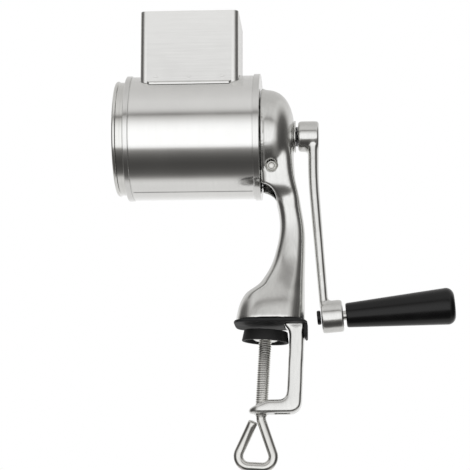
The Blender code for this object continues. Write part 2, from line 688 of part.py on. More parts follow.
def drum_back_plate(look, axis):
    flange_r = DRUM_R - DRUM_SHEET - GAP
    inner_r = flange_r - DRUM_SHEET
    outside = drum_rear() - DRUM_RECESS
    inside = outside - DRUM_SHEET
    bore = SHAFT_R + GAP
    centre = (drum_rear() - BEAD_R, bead_centre_r())
    roll = arc(centre, BEAD_R, 180 - angle_at(flange_r), -180 - angle_at(inner_r), 7)
    profile = [(inside, bore), (inside, flange_r), *roll, (outside, inner_r), (outside, bore)]
    finished("drum_back_plate", turned(profile, closed=True), look, axis)


def hub_washer_x():
    """The two faces of the washer inside the drum."""
    rear = drum_rear() - DRUM_RECESS - DRUM_SHEET - GAP
    return rear - HUB_WASHER_T, rear


def drum_hub_washer(look, axis):
    front, rear = hub_washer_x()
    bore = SHAFT_R + GAP
    profile = [(front, bore), (front, HUB_WASHER_R - CHAMFER), (front + CHAMFER, HUB_WASHER_R)]
    profile += [(rear, HUB_WASHER_R), (rear, bore)]
    finished("drum_hub_washer", turned(profile, closed=True, flats=MEDIUM_ROUND), look, axis)


def drum_shaft(look, axis):
    head = hub_washer_x()[0] - GAP
    shoulder = spacer_x()[0] - GAP
    tip = shoulder + TIP_LENGTH
    profile = [(head - SHAFT_HEAD_T, 0), (head - SHAFT_HEAD_T, SHAFT_HEAD_R - CHAMFER)]
    profile += [(head - SHAFT_HEAD_T + CHAMFER, SHAFT_HEAD_R), (head, SHAFT_HEAD_R), (head, SHAFT_R)]
    profile += [(shoulder - CHAMFER, SHAFT_R), (shoulder, SHAFT_R - CHAMFER), (shoulder, TIP_R)]
    profile += [(tip - CHAMFER, TIP_R), (tip, TIP_R - CHAMFER), (tip, 0)]
    finished("drum_shaft", turned(profile, flats=MEDIUM_ROUND), look, axis)


# Crank --------------------------------------------------------------------------------------------------------


def spacer_x():
    """The two faces of the black washer, which sits between the steel washer and the crank."""
    front = BELL_FACE + GAP + WASHER_T + GAP
    return front, front + SPACER_T


def washers(steel, black, axis):
    front = BELL_FACE + GAP
    bore = SHAFT_R + GAP
    ring = [(front, bore), (front, WASHER_R), (front + WASHER_T, WASHER_R), (front + WASHER_T, bore)]
    finished("steel_washer", turned(ring, closed=True, flats=MEDIUM_ROUND), steel, location=(0, 0, AXIS_Z))
    front, rear = spacer_x()
    bore = TIP_R + GAP
    ring = [(front, bore), (front, SPACER_R), (rear, SPACER_R), (rear, bore)]
    finished("black_washer", turned(ring, closed=True, flats=MEDIUM_ROUND), black, axis)


def boss_profile(low, high, radius, round_by):
    """A cylinder along X with rounded rims."""
    left = arc((low + round_by, radius - round_by), round_by, 180, 90, 3)
    right = arc((high - round_by, radius - round_by), round_by, 90, 0, 3)
    return [(low, 0), *left, *right, (high, 0)]


def crank_arm(look, axis, handle_axis):
    """The arm between the boss on the shaft and the boss that holds the handle's spindle."""
    low = spacer_x()[1] + GAP
    high = low + CRANK_BOSS_LENGTH
    levels = []
    for i in range(CRANK_LEVELS + 1):
        share = i / CRANK_LEVELS
        z = -(CRANK_THROW - CRANK_ARM_SHORT) * share
        half = (ARM_THICKNESS_TOP + (ARM_THICKNESS_FOOT - ARM_THICKNESS_TOP) * share) / 2
        width = (ARM_WIDTH_TOP + (ARM_WIDTH_FOOT - ARM_WIDTH_TOP) * share) / 2
        centre = crank_centre(share)
        levels.append((z, superellipse(centre - half, centre + half, width, CRANK_SQUARENESS, 24)))
    crank = finished("crank_arm", lofted(levels), look, axis)
    top = turned(boss_profile(low, high, CRANK_BOSS_R, CRANK_BOSS_ROUND), flats=MEDIUM_ROUND)
    combine(crank, tool("crank_top_boss", top, axis), "UNION")
    half = HANDLE_BOSS_LENGTH / 2
    foot = turned(boss_profile(-half, half, HANDLE_BOSS_R, CRANK_BOSS_ROUND), flats=MEDIUM_ROUND)
    combine(crank, tool("crank_foot_boss", foot, handle_axis), "UNION")
    tip_way = rods([((low - CUT_PAST, 0, 0), (high - CRANK_CAP, 0, 0), TIP_R + GAP)])
    combine(crank, tool("crank_tip_bore", tip_way, axis), "DIFFERENCE")
    spindle_way = rods([((-half - CUT_PAST, 0, 0), (half + CUT_PAST, 0, 0), SPINDLE_R + GAP)])
    combine(crank, tool("crank_spindle_bore", spindle_way, handle_axis), "DIFFERENCE")


def crank_centre(share):
    """The arm's middle in X, from its top (0) to its foot (1): straight down at first, then out."""
    slope = (HANDLE_X - CRANK_FOOT_INSET - CRANK_ARM_X) / (1 - CRANK_BEND)
    if share < CRANK_BEND:
        return CRANK_ARM_X
    if share < 2 * CRANK_BEND:
        return CRANK_ARM_X + slope * (share - CRANK_BEND) ** 2 / (2 * CRANK_BEND)
    return CRANK_ARM_X + slope * (share - 1.5 * CRANK_BEND)


def spindle_and_cap(steel, black, axis):
    half = HANDLE_BOSS_LENGTH / 2
    front = -half
    profile = [(front, 0), (front, SPINDLE_R), (front + SPINDLE_LENGTH - CHAMFER, SPINDLE_R)]
    profile += [(front + SPINDLE_LENGTH, SPINDLE_R - CHAMFER), (front + SPINDLE_LENGTH, 0)]
    finished("handle_spindle", turned(profile, flats=SMALL_ROUND), steel, axis)
    rear = -half - GAP
    round_by = CAP_T / 3
    cap = [(rear - CAP_T, 0), *arc((rear - CAP_T + round_by, CAP_R - round_by), round_by, 180, 90, 3)]
    finished("spindle_cap", turned([*cap, (rear, CAP_R), (rear, 0)], flats=SMALL_ROUND), black, axis)


def grip(look, axis):
    """A tapered handle with a blind bore for the spindle."""
    start = HANDLE_BOSS_LENGTH / 2 + GRIP_CLEAR
    end = start + GRIP_LENGTH
    bore = SPINDLE_R + GAP
    depth = SPINDLE_LENGTH - HANDLE_BOSS_LENGTH / 2 + 2 * GAP
    neck = arc((start + GRIP_NECK_ROUND, GRIP_NECK_R - GRIP_NECK_ROUND), GRIP_NECK_ROUND, 180, 95, 4)
    crown = arc((end - GRIP_END_ROUND, GRIP_END_R - GRIP_END_ROUND), GRIP_END_ROUND, 88, 0, 6)
    profile = [(depth, 0), (depth, bore), (start, bore), *neck, *crown, (end, 0)]
    finished("grip", turned(profile, flats=MEDIUM_ROUND), look, axis)


# Clamp --------------------------------------------------------------------------------------------------------


def cup_top():
    """The cup's top, along the screw's axis from the middle of the tongue."""
    tongue_middle = COLUMN_FOOT_Z - TONGUE_T / 2
    return (-CUP_DROP - tongue_middle) / cos(radians(CLAMP_LEAN))


def disc_faces():
    top = cup_top() - CUP_ROOF - GAP
    return top - DISC_T, top


def pressure_cup(look, axis):
    top = cup_top()
    rim = top - CUP_HEIGHT
    roof = top - CUP_ROOF
    recess = disc_faces()[1] + GAP + RIVET_T + GAP
    profile = [(top, 0), (top, CUP_TOP_R - CUP_EDGE), (top - CUP_EDGE, CUP_TOP_R), (rim, CUP_RIM_R)]
    profile += [(rim, CUP_RIM_R - CUP_WALL), (roof, CUP_TOP_R - CUP_WALL), (roof, RIVET_R + GAP)]
    profile += [(recess, RIVET_R + GAP), (recess, 0)]
    finished("pressure_cup", turned(profile, "Z", flats=MEDIUM_ROUND), look, axis)


def pressure_disc(look, axis):
    low, high = disc_faces()
    outer = CUP_TOP_R - CUP_WALL - GAP
    bore = NECK_R + GAP
    profile = [(low, bore), (low, outer), (high, outer), (high, bore)]
    finished("pressure_disc", turned(profile, "Z", closed=True, flats=MEDIUM_ROUND), look, axis)


def clamp_screw(look, axis):
    """The screw, its riveted head over the disc, and the loop bent from the same rod."""
    low, high = disc_faces()
    rivet = high + GAP
    foot = LOOP_TOP + LOOP_ROOT - ROD_R
    profile = [(foot, 0), (foot, CLAMP_R - CHAMFER), (foot + CHAMFER, CLAMP_R)]
    profile += [(low - GAP - CHAMFER, CLAMP_R)]
    profile += [(low - GAP, CLAMP_R - CHAMFER), (low - GAP, NECK_R), (rivet, NECK_R), (rivet, RIVET_R)]
    profile += [(rivet + RIVET_T / 2, RIVET_R), (rivet + RIVET_T, RIVET_R - RIVET_T / 2), (rivet + RIVET_T, 0)]
    screw = finished("clamp_screw", turned(profile, "Z", flats=SMALL_ROUND), look, axis)
    combine(screw, tool("clamp_loop", swept(loop_route(), ROD_R, LOOP_END_Y), axis), "UNION")


def loop_route():
    """The rod's middle in the loop's plane, with round bends: down, right, round the bottom and back up."""
    corners = [(0, LOOP_TOP + LOOP_ROOT), (0, LOOP_TOP), (LOOP_RIGHT, LOOP_BOTTOM), (LOOP_LEFT, LOOP_BOTTOM)]
    stops = [Vector(corner) for corner in (*corners, LOOP_END)]
    route = [stops[0]]
    for before, bend, after in zip(stops, stops[1:], stops[2:]):
        into, out = (bend - before).normalized(), (after - bend).normalized()
        turn = into.angle(out)
        side = 1 if into.x * out.y - into.y * out.x > 0 else -1
        start = bend - into * LOOP_BEND * tan(turn / 2)
        centre = start + Vector((-into.y, into.x)) * side * LOOP_BEND
        steps = ceil(turn / radians(20))
        for i in range(steps + 1):
            spoke = start - centre
            spoke.rotate(Matrix.Rotation(side * turn * i / steps, 2))
            route.append(centre + spoke)
    return [*route, stops[-1]]


def swept(route, radius, end_y, flats=12):
    """A round rod along (x, z) points, whose last stretch drifts to end_y."""
    bm = bmesh.new()
    rings = []
    for i, point in enumerate(route):
        before, after = route[max(i - 1, 0)], route[min(i + 1, len(route) - 1)]
        way = (after - before).normalized()
        across = Vector((-way.y, 0, way.x))
        middle = Vector((point.x, end_y if i == len(route) - 1 else 0, point.y))
        ring = []
        for k in range(flats):
            turn = 2 * pi * k / flats
            spoke = across * cos(turn) + Vector((0, 1, 0)) * sin(turn)
            ring.append(bm.verts.new(middle + spoke * radius))
        rings.append(ring)
    for near, far in zip(rings, rings[1:]):
        for k in range(flats):
            j = (k + 1) % flats
            bm.faces.new((near[k], near[j], far[j], far[k]))
    bm.faces.new(rings[0][::-1])
    bm.faces.new(rings[-1])
    return bm


def main():
    for old in list(bpy.data.objects):
        bpy.data.objects.remove(old, do_unlink=True)
    brushed = material("brushed stainless steel", (0.60, 0.59, 0.57), 0.26, 1.0)
    polished = material("polished stainless steel", (0.72, 0.71, 0.69), 0.10, 1.0)
    cast = material("cast aluminium", (0.62, 0.62, 0.61), 0.32, 1.0)
    zinc = material("zinc-plated steel", (0.58, 0.57, 0.54), 0.30, 1.0)
    nylon = material("white nylon", (0.78, 0.77, 0.73), 0.45, 0.0)
    rubber = material("black rubber", (0.018, 0.018, 0.019), 0.55, 0.0)
    plastic = material("black plastic", (0.012, 0.012, 0.013), 0.22, 0.0)

    crank_axis = axis_empty("crank_axis", (0, 0, AXIS_Z))
    handle_axis = axis_empty("handle_axis", (HANDLE_X, 0, -CRANK_THROW), -HANDLE_TILT, crank_axis)
    tongue_middle = COLUMN_FOOT_Z - TONGUE_T / 2
    clamp_axis = axis_empty("clamp_axis", (CLAMP_X, 0, tongue_middle), CLAMP_LEAN)

    frame_casting(cast, clamp_axis)
    housing_barrel(brushed)
    housing_back(brushed)
    hopper(brushed)
    housing_screws(zinc)
    bell_side_screw(zinc)
    shaft_bush(nylon)
    rubber_pad(rubber)
    washers(zinc, plastic, crank_axis)
    drum_shell(polished, crank_axis)
    drum_back_plate(polished, crank_axis)
    drum_hub_washer(zinc, crank_axis)
    drum_shaft(polished, crank_axis)
    crank_arm(cast, crank_axis, handle_axis)
    spindle_and_cap(zinc, plastic, handle_axis)
    grip(plastic, handle_axis)
    pressure_cup(rubber, clamp_axis)
    pressure_disc(zinc, clamp_axis)
    clamp_screw(zinc, clamp_axis)
    bpy.context.view_layer.update()


main()
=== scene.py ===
"""Finishes a hand-cranked drum grater on its table clamp, piece by piece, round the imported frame."""

import json
from math import ceil, cos, pi, radians, sin, sqrt, tan

import bmesh
import bpy
from bpy.props import FloatProperty, FloatVectorProperty, IntProperty, PointerProperty
from mathutils import Matrix, Vector


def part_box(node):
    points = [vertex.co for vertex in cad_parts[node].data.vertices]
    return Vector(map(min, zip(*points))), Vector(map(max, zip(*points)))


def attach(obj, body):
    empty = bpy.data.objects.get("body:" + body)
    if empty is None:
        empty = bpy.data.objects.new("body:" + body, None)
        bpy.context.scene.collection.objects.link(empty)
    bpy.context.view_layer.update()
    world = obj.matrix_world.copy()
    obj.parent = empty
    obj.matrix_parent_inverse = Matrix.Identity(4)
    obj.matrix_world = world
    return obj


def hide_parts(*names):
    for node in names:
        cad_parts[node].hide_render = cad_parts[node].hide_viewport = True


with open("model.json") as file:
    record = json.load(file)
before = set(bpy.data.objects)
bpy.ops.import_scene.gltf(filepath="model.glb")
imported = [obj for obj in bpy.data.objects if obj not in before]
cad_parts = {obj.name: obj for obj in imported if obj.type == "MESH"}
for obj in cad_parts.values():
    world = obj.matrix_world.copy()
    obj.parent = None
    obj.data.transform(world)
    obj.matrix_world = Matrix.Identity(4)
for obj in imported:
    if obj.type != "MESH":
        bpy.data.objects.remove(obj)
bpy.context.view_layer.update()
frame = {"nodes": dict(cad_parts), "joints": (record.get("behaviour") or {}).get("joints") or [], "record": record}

bl_info = {
    "name": "Drum grater",
    "version": (1, 0, 0),
    "blender": (4, 5, 0),
    "location": "View3D > Sidebar > Grater",
    "description": "Builds the finished pieces of a hand-cranked drum grater round its frame",
    "category": "Object",
}

MM = 0.001
GAP = 0.3 * MM  # kept between pieces that touch
BODY = {node: body for body, nodes in frame["record"]["behaviour"]["bodies"].items() for node in nodes}
JOINT = {joint["name"]: joint for joint in frame["joints"]}
AXIS_Z = JOINT["crank_turn"]["pos_m"][2]


def reach(node):
    """(front, rear, radius) of a round piece on the drum's axis."""
    low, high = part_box(node)
    return low.x, high.x, (high.z - low.z) / 2


# Settings -----------------------------------------------------------------------------------------


def length(name, description, millimetres):
    return FloatProperty(name=name, description=description, default=millimetres * MM, min=0, unit="LENGTH")


def angle(name, description, degrees):
    return FloatProperty(name=name, description=description, default=radians(degrees), unit="ROTATION")


def share(name, description, value, high=1.0):
    return FloatProperty(name=name, description=description, default=value, min=0, max=high)


def count(name, description, value):
    return IntProperty(name=name, description=description, default=value, min=1)


def colour(name, description, value):
    return FloatVectorProperty(
        name=name, description=description, default=value, size=3, min=0, max=1, subtype="COLOR"
    )


class HousingSizes(bpy.types.PropertyGroup):
    sheet: length("Sheet", "Thickness of the barrel's and the hopper's sheet", 0.8)
    rim_length: length("Rim length", "Length of the rolled front rim", 3.5)
    rim_raise: length("Rim raise", "How far the rim stands over the barrel", 0.6)
    groove: length("Groove", "Depth and width of the grooves behind the rim and before the back", 0.6)
    seam_place: angle("Seam place", "Where the sheet's ends meet, in front of the barrel's bottom", 17.8)
    seam_width: length("Seam width", "Width of the seam", 0.5)
    seam_depth: length("Seam depth", "Depth of the seam", 1.0)
    back_sheet: length("Back sheet", "Thickness of the back's sheet", 1.0)
    back_flange: length("Back flange", "Sheet of the flange round the barrel", 0.6)
    back_hole: length("Back hole", "Radius of the hole for the bush's boss", 12)
    mouth_corner: length("Mouth corner", "Inner corner radius of the chute", 3.4)
    tab_reach: length("Tab reach", "How far the saddle's tabs pass the chute", 1.4)
    tab_corner: length("Tab corner", "Cut off each corner of a tab", 6)
    weld_radius: length("Weld radius", "Radius of a spot weld over the tabs", 1.45)
    weld_pitch: length("Weld pitch", "Distance between spot welds", 20.8)
    weld_rise: length("Weld rise", "Height of the spot welds over the chute's foot", 3.5)


class CastingSizes(bpy.types.PropertyGroup):
    skin: length("Skin", "Voxel size of the casting's skin", 0.62)
    soften: count("Soften", "Smoothing passes over the whole casting", 4)
    blend_passes: count("Blend", "Smoothing passes where the arm runs into the bell and the foot", 14)
    column_passes: count("Column", "Smoothing passes over the column and the tongue", 12)
    lip: length("Bell lip", "How far the lip at the bell's mouth stands proud", 1.3)
    wall: length("Bell wall", "Thickness of the bell's wall", 2.7)
    arch: length("Arch radius", "Radius of the arch under the bell's mouth", 9.8)
    tongue: length("Tongue", "Thickness of the tongue that the clamp screw runs in", 8.6)
    tongue_width: length("Tongue width", "Width of the column and the tongue", 17)


class DrumSizes(bpy.types.PropertyGroup):
    sheet: length("Sheet", "Thickness of the drum's shell", 0.7)
    bead: length("Bead radius", "Radius of the beads that roll the drum's two edges", 1.3)
    bead_raise: length("Bead raise", "How far the bead stands over the shell", 0.7)
    hole: length("Hole radius", "Radius of a grating hole", 3)
    pitch: length("Hole pitch", "Distance between holes along the drum", 8.7)
    step: length("Hole step", "How far round the drum each hole is from the one before", 2.8)
    lip: length("Lip height", "Height of the cutting lip over the shell", 0.6)
    strips: count("Strips", "Strips of holes round the drum", 3)
    shaft: length("Shaft radius", "Radius of the shaft in its bush", 6.1)
    tip: length("Tip radius", "Radius of the shaft's threaded tip", 3.5)
    tip_pitch: length("Tip pitch", "Pitch of the tip's thread", 1)


class CrankSizes(bpy.types.PropertyGroup):
    skin: length("Skin", "Voxel size of the crank's skin", 0.5)
    soften: count("Soften", "Smoothing passes over the crank", 4)
    top_thickness: length("Top thickness", "Thickness of the arm at the shaft", 6.9)
    foot_thickness: length("Foot thickness", "Thickness of the arm at the handle", 5.6)
    top_width: length("Top width", "Width of the arm at the shaft", 16)
    foot_width: length("Foot width", "Width of the arm at the handle", 12.6)
    boss: length("Boss radius", "Radius of the boss on the shaft", 9.7)
    foot_boss: length("Foot boss radius", "Radius of the boss that holds the spindle", 10)
    spindle: length("Spindle radius", "Radius of the spindle", 3)


class ClampSizes(bpy.types.PropertyGroup):
    screw: length("Screw radius", "Radius over the clamp screw's thread", 4)
    pitch: length("Thread pitch", "Pitch of the clamp screw", 1.4)
    thread: length("Thread depth", "Depth of the clamp screw's thread", 0.42)
    neck: length("Neck radius", "Radius of the neck that holds the disc", 2.7)
    rod: length("Rod radius", "Radius of the rod that the loop is bent from", 3)
    bend: length("Bend radius", "Radius of the loop's bends", 6.5)


class Finishes(bpy.types.PropertyGroup):
    barrel: colour("Barrel", "Bright rolled stainless steel", (0.86, 0.86, 0.85))
    hopper: colour("Hopper", "Brushed stainless steel", (0.85, 0.85, 0.84))
    polished: colour("Drum", "Mirror-polished stainless steel", (0.84, 0.84, 0.82))
    cast: colour("Casting", "Satin-polished aluminium", (0.80, 0.80, 0.785))
    zinc: colour("Fasteners", "Bright zinc-plated steel", (0.76, 0.755, 0.73))
    nylon: colour("Nylon", "Natural nylon of the bush", (0.76, 0.74, 0.68))
    rubber: colour("Rubber", "Black rubber of the pad and the foot", (0.016, 0.016, 0.017))
    plastic: colour("Plastic", "Black moulded plastic of the handle", (0.006, 0.006, 0.0065))


class StageSettings(bpy.types.PropertyGroup):
    azimuth: angle("Azimuth", "Where the camera stands round the grater, from its front", 3.5)
    elevation: angle("Elevation", "How far the camera stands above the grater's level", -10.6)
    distance: FloatProperty(
        name="Distance", description="From the camera to the grater", default=1.2, unit="LENGTH"
    )
    lens: FloatProperty(
        name="Lens", description="Focal length, in millimetres, on a 36 mm sensor", default=147
    )
    aim_x: length("Aim X", "How far the aim lies in front of the pad's middle", 19.7)
    aim_z: length("Aim height", "Height of the aim over the table", 57.5)
    floor_drop: length("Floor drop", "How far the floor lies under the table's level", 320)
    key: share("Key light", "Power of the softbox, in watts", 2.0, 100)


class GraterSettings(bpy.types.PropertyGroup):
    housing: PointerProperty(type=HousingSizes)
    casting: PointerProperty(type=CastingSizes)
    drum: PointerProperty(type=DrumSizes)
    crank: PointerProperty(type=CrankSizes)
    clamp: PointerProperty(type=ClampSizes)
    finishes: PointerProperty(type=Finishes)
    stage: PointerProperty(type=StageSettings)


# Outlines -----------------------------------------------------------------------------------------


def arc(centre, radius, start, end, steps=10):
    """Points of an outline on an arc, with the angles in degrees."""
    turns = [radians(start + (end - start) * i / steps) for i in range(steps + 1)]
    return [(centre[0] + radius * cos(t), centre[1] + radius * sin(t)) for t in turns]


def eased(points, radius, steps=5):
    """The outline with each of its inner corners rounded, as far as its two sides allow."""
    corners = [Vector(p) for p in points]
    out = [tuple(corners[0])]
    for before, corner, after in zip(corners, corners[1:], corners[2:]):
        into, away = corner - before, after - corner
        if into.length < 1e-9 or away.length < 1e-9 or into.angle(away) < radians(8):
            out.append(tuple(corner))
            continue
        turn = into.angle(away)
        cut = min(radius * tan(turn / 2), 0.45 * into.length, 0.45 * away.length)
        start, end = corner - into.normalized() * cut, corner + away.normalized() * cut
        for i in range(steps + 1):
            t = i / steps
            out.append(tuple(start * (1 - t) ** 2 + corner * 2 * t * (1 - t) + end * t * t))
    return [*out, tuple(corners[-1])]


def rounded_box(x_low, x_high, y_low, y_high, corner, steps=10):
    """(x, y) points of a rectangle with round corners."""
    return [
        point
        for centre, start in (
            ((x_high - corner, y_high - corner), 0),
            ((x_low + corner, y_high - corner), 90),
            ((x_low + corner, y_low + corner), 180),
            ((x_high - corner, y_low + corner), 270),
        )
        for point in arc(centre, corner, start, start + 90, steps)
    ]


def superellipse(x_low, x_high, half_width, power, points):
    """(x, y) points of a rounded rectangle with these sides."""
    middle, half = (x_low + x_high) / 2, (x_high - x_low) / 2
    outline = []
    for i in range(points):
        c, s = cos(2 * pi * i / points), sin(2 * pi * i / points)
        x = abs(c) ** (2 / power) * (1 if c > 0 else -1)
        y = abs(s) ** (2 / power) * (1 if s > 0 else -1)
        outline.append((middle + half * x, half_width * y))
    return outline


def through(points, place):
    """The smooth curve through (place, value) points, which never overshoots them."""
    spans = [((b[1] - a[1]) / (b[0] - a[0]), b[0] - a[0]) for a, b in zip(points, points[1:])]
    slopes = [spans[0][0]]
    for (before, _), (after, _) in zip(spans, spans[1:]):
        slopes.append(0 if before * after <= 0 else 2 * before * after / (before + after))
    slopes.append(spans[-1][0])
    place = min(max(place, points[0][0]), points[-1][0])
    i = next(i for i, point in enumerate(points[1:]) if place <= point[0])
    step = spans[i][1]
    t = (place - points[i][0]) / step
    return (
        points[i][1] * (1 + 2 * t) * (1 - t) ** 2
        + slopes[i] * step * t * (1 - t) ** 2
        + points[i + 1][1] * t * t * (3 - 2 * t)
        + slopes[i + 1] * step * t * t * (t - 1)
    )


# Shapes -------------------------------------------------------------------------------------------


def spun(profile, steps, about="X", closed=False, start=0.0, turn=2 * pi):
    """A bmesh of (place, radius) points turned round X or Z. A part turn has its two ends filled."""
    bm = bmesh.new()
    spots = [(a, 0, r) if about == "X" else (r, 0, a) for a, r in profile]
    verts = [bm.verts.new(spot) for spot in spots]
    edges = [bm.edges.new(pair) for pair in zip(verts, verts[1:])]
    if closed:
        edges.append(bm.edges.new((verts[-1], verts[0])))
    axis = Vector((1, 0, 0)) if about == "X" else Vector((0, 0, 1))
    bmesh.ops.rotate(bm, verts=verts, cent=(0, 0, 0), matrix=Matrix.Rotation(start, 3, axis))
    full = turn == 2 * pi
    bmesh.ops.spin(
        bm, geom=verts + edges, cent=(0, 0, 0), axis=axis, angle=turn, steps=steps, use_merge=full
    )
    if not full:
        bmesh.ops.holes_fill(bm, edges=bm.edges, sides=0)
    bmesh.ops.remove_doubles(bm, verts=bm.verts, dist=1e-6)
    return bm


def pulled(outline, low, high, plane="XY", round_by=0.0, segments=4):
    """An outline in the XY or XZ plane pulled from low to high, with its two rims rounded."""
    bm = bmesh.new()
    spots = [(a, b, low) if plane == "XY" else (a, low, b) for a, b in outline]
    face = bm.faces.new([bm.verts.new(spot) for spot in spots])
    made = bmesh.ops.extrude_face_region(bm, geom=[face])["geom"]
    moved = [element for element in made if isinstance(element, bmesh.types.BMVert)]
    bmesh.ops.translate(bm, verts=moved, vec=(0, 0, high - low) if plane == "XY" else (0, high - low, 0))
    bmesh.ops.recalc_face_normals(bm, faces=bm.faces)
    if round_by:
        side = 2 if plane == "XY" else 1
        rims = [e for e in bm.edges if abs(e.verts[0].co[side] - e.verts[1].co[side]) < 1e-9]
        bmesh.ops.bevel(
            bm, geom=rims, offset=round_by, segments=segments, profile=0.5, affect="EDGES", material=-1
        )
    return bm


def lofted(levels):
    """A closed skin through (height, outline) levels, bridged ring by ring."""
    bm = bmesh.new()
    rings = []
    for height, outline in levels:
        ring = bmesh.ops.create_circle(bm, segments=len(outline), radius=MM)["verts"]
        for vert, (x, y) in zip(ring, outline):
            vert.co = (x, y, height)
        rings.append({edge for vert in ring for edge in vert.link_edges})
    for low, high in zip(rings, rings[1:]):
        bmesh.ops.bridge_loops(bm, edges=list(low | high))
    bmesh.ops.holes_fill(bm, edges=bm.edges, sides=0)
    return bm


def rod(start, end, radius, sides=32):
    """A plain cylinder between two points."""
    bm = bmesh.new()
    start, end = Vector(start), Vector(end)
    turn = (end - start).to_track_quat("Z", "Y").to_matrix().to_4x4()
    bmesh.ops.create_cone(
        bm,
        cap_ends=True,
        segments=sides,
        radius1=radius,
        radius2=radius,
        depth=(end - start).length,
        matrix=Matrix.Translation((start + end) / 2) @ turn,
    )
    return bm


def block(size, centre):
    """A plain block, for cutting slots."""
    bm = bmesh.new()
    bmesh.ops.create_cube(bm, size=1, matrix=Matrix.Translation(centre) @ Matrix.Diagonal((*size, 1)))
    return bm


def thread(low, high, crest, depth, pitch, steps=28):
    """A threaded rod along Z: a core, and a ridge that winds round it."""
    root = crest - depth
    sunk = root - depth / 8
    ridge = [(-0.49, sunk), (-0.05, crest), (0.05, crest), (0.49, sunk)]
    turns = (high - low) / pitch - 1
    total = round(turns * steps)
    bm = bmesh.new()
    verts = [bm.verts.new((r, 0, low + pitch * (w + 0.5))) for w, r in ridge]
    edges = [bm.edges.new((verts[i], verts[(i + 1) % 4])) for i in range(4)]
    bmesh.ops.spin(
        bm,
        geom=verts + edges,
        cent=(0, 0, 0),
        axis=(0, 0, 1),
        dvec=(0, 0, pitch / steps),
        angle=2 * pi * total / steps,
        steps=total,
    )
    bmesh.ops.holes_fill(bm, edges=bm.edges, sides=0)
    taper = depth / 2
    core = [(low, 0), (low, root - taper), (low + taper, root), (high - taper, root), (high, root - taper)]
    return together(bm, spun([*core, (high, 0)], steps, "Z"))


def together(*shapes):
    """Several bmeshes in one, without joining their skins."""
    whole = shapes[0]
    for shape in shapes[1:]:
        mesh = bpy.data.meshes.new("scratch")
        shape.to_mesh(mesh)
        shape.free()
        whole.from_mesh(mesh)
        bpy.data.meshes.remove(mesh)
    return whole


def placed(bm, matrix):
    """The shape moved by the matrix."""
    bmesh.ops.transform(bm, matrix=matrix, verts=bm.verts)
    return bm


def at_axis(bm):
    """The shape moved from X onto the drum's axis."""
    return placed(bm, Matrix.Translation((0, 0, AXIS_Z)))


def scratch(bm):
    """A throwaway object made from a bmesh, with its doubles merged and its faces pointing out."""
    bmesh.ops.remove_doubles(bm, verts=bm.verts, dist=1e-6)
    bmesh.ops.recalc_face_normals(bm, faces=bm.faces)
    mesh = bpy.data.meshes.new("scratch")
    bm.to_mesh(mesh)
    bm.free()
    made = bpy.data.objects.new("scratch", mesh)
    bpy.context.scene.collection.objects.link(made)
    return made


def discard(made):
    """Removes a throwaway object with its mesh."""
    mesh = made.data
    bpy.data.objects.remove(made)
    bpy.data.meshes.remove(mesh)


def settled(made):
    """The object's mesh with its modifiers applied, as a bmesh. The object goes."""
    bpy.context.view_layer.update()
    seen = made.evaluated_get(bpy.context.evaluated_depsgraph_get())
    mesh = bpy.data.meshes.new_from_object(seen)
    bm = bmesh.new()
    bm.from_mesh(mesh)
    bpy.data.meshes.remove(mesh)
    discard(made)
    return bm


def carved(target, others, operation="DIFFERENCE"):
    """The shape cut by, joined with or kept inside each of the others."""
    body = scratch(target)
    tools = [scratch(other) for other in others]
    for tool in tools:
        modifier = body.modifiers.new("cut", "BOOLEAN")
        modifier.operation = operation
        modifier.object = tool
    bm = settled(body)
    for tool in tools:
        discard(tool)
    return bm


def skinned(bm, voxel):
    """One even skin over solids that overlap."""
    body = scratch(bm)
    modifier = body.modifiers.new("skin", "REMESH")
    modifier.mode = "VOXEL"
    modifier.voxel_size = voxel
    return settled(body)


def smoothed(bm, passes, where=None, factor=0.5):
    """The skin relaxed a number of times, everywhere or only at the points that where() picks."""
    verts = [v for v in bm.verts if where is None or where(v.co)]
    for _ in range(passes):
        bmesh.ops.smooth_vert(
            bm, verts=verts, factor=factor, use_axis_x=True, use_axis_y=True, use_axis_z=True
        )
    return bm


def softened(bm, width, limit=35, segments=2):
    """The sheet-metal shape with its sharp edges broken."""
    body = scratch(bm)
    modifier = body.modifiers.new("edges", "BEVEL")
    modifier.width = width
    modifier.segments = segments
    modifier.limit_method = "ANGLE"
    modifier.angle_limit = radians(limit)
    return settled(body)


def piece(name, node, bm, look, sharp=38):
    """The finished piece that stands for a node: it rides on the node's body, and the node is hidden."""
    bmesh.ops.remove_doubles(bm, verts=bm.verts, dist=1e-6)
    bmesh.ops.recalc_face_normals(bm, faces=bm.faces)
    mesh = bpy.data.meshes.new(name)
    bm.to_mesh(mesh)
    bm.free()
    mesh.shade_smooth()
    mesh.set_sharp_from_angle(angle=radians(sharp))
    mesh.materials.append(look)
    made = bpy.data.objects.new(name, mesh)
    bpy.context.scene.collection.objects.link(made)
    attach(made, BODY[node])
    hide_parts(node)
    return made


# Materials ----------------------------------------------------------------------------------------


def add(tree, kind, inputs=None, **settings):
    """A shader node with its settings, and its inputs set or wired to other nodes' outputs."""
    made = tree.nodes.new(kind)
    for key, value in settings.items():
        setattr(made, key, value)
    for key, value in (inputs or {}).items():
        if isinstance(value, bpy.types.NodeSocket):
            tree.links.new(value, made.inputs[key])
        else:
            made.inputs[key].default_value = value
    return made


def grain(tree, scale, detail=3.0, roughness=0.6):
    """Noise in the piece's own coordinates, with features to the metre along X, Y and Z."""
    place = add(tree, "ShaderNodeTexCoord").outputs["Object"]
    mapping = add(tree, "ShaderNodeMapping", {"Vector": place, "Scale": scale})
    noise = add(
        tree,
        "ShaderNodeTexNoise",
        {"Vector": mapping.outputs["Vector"], "Scale": 1, "Detail": detail, "Roughness": roughness},
    )
    return noise.outputs["Fac"]


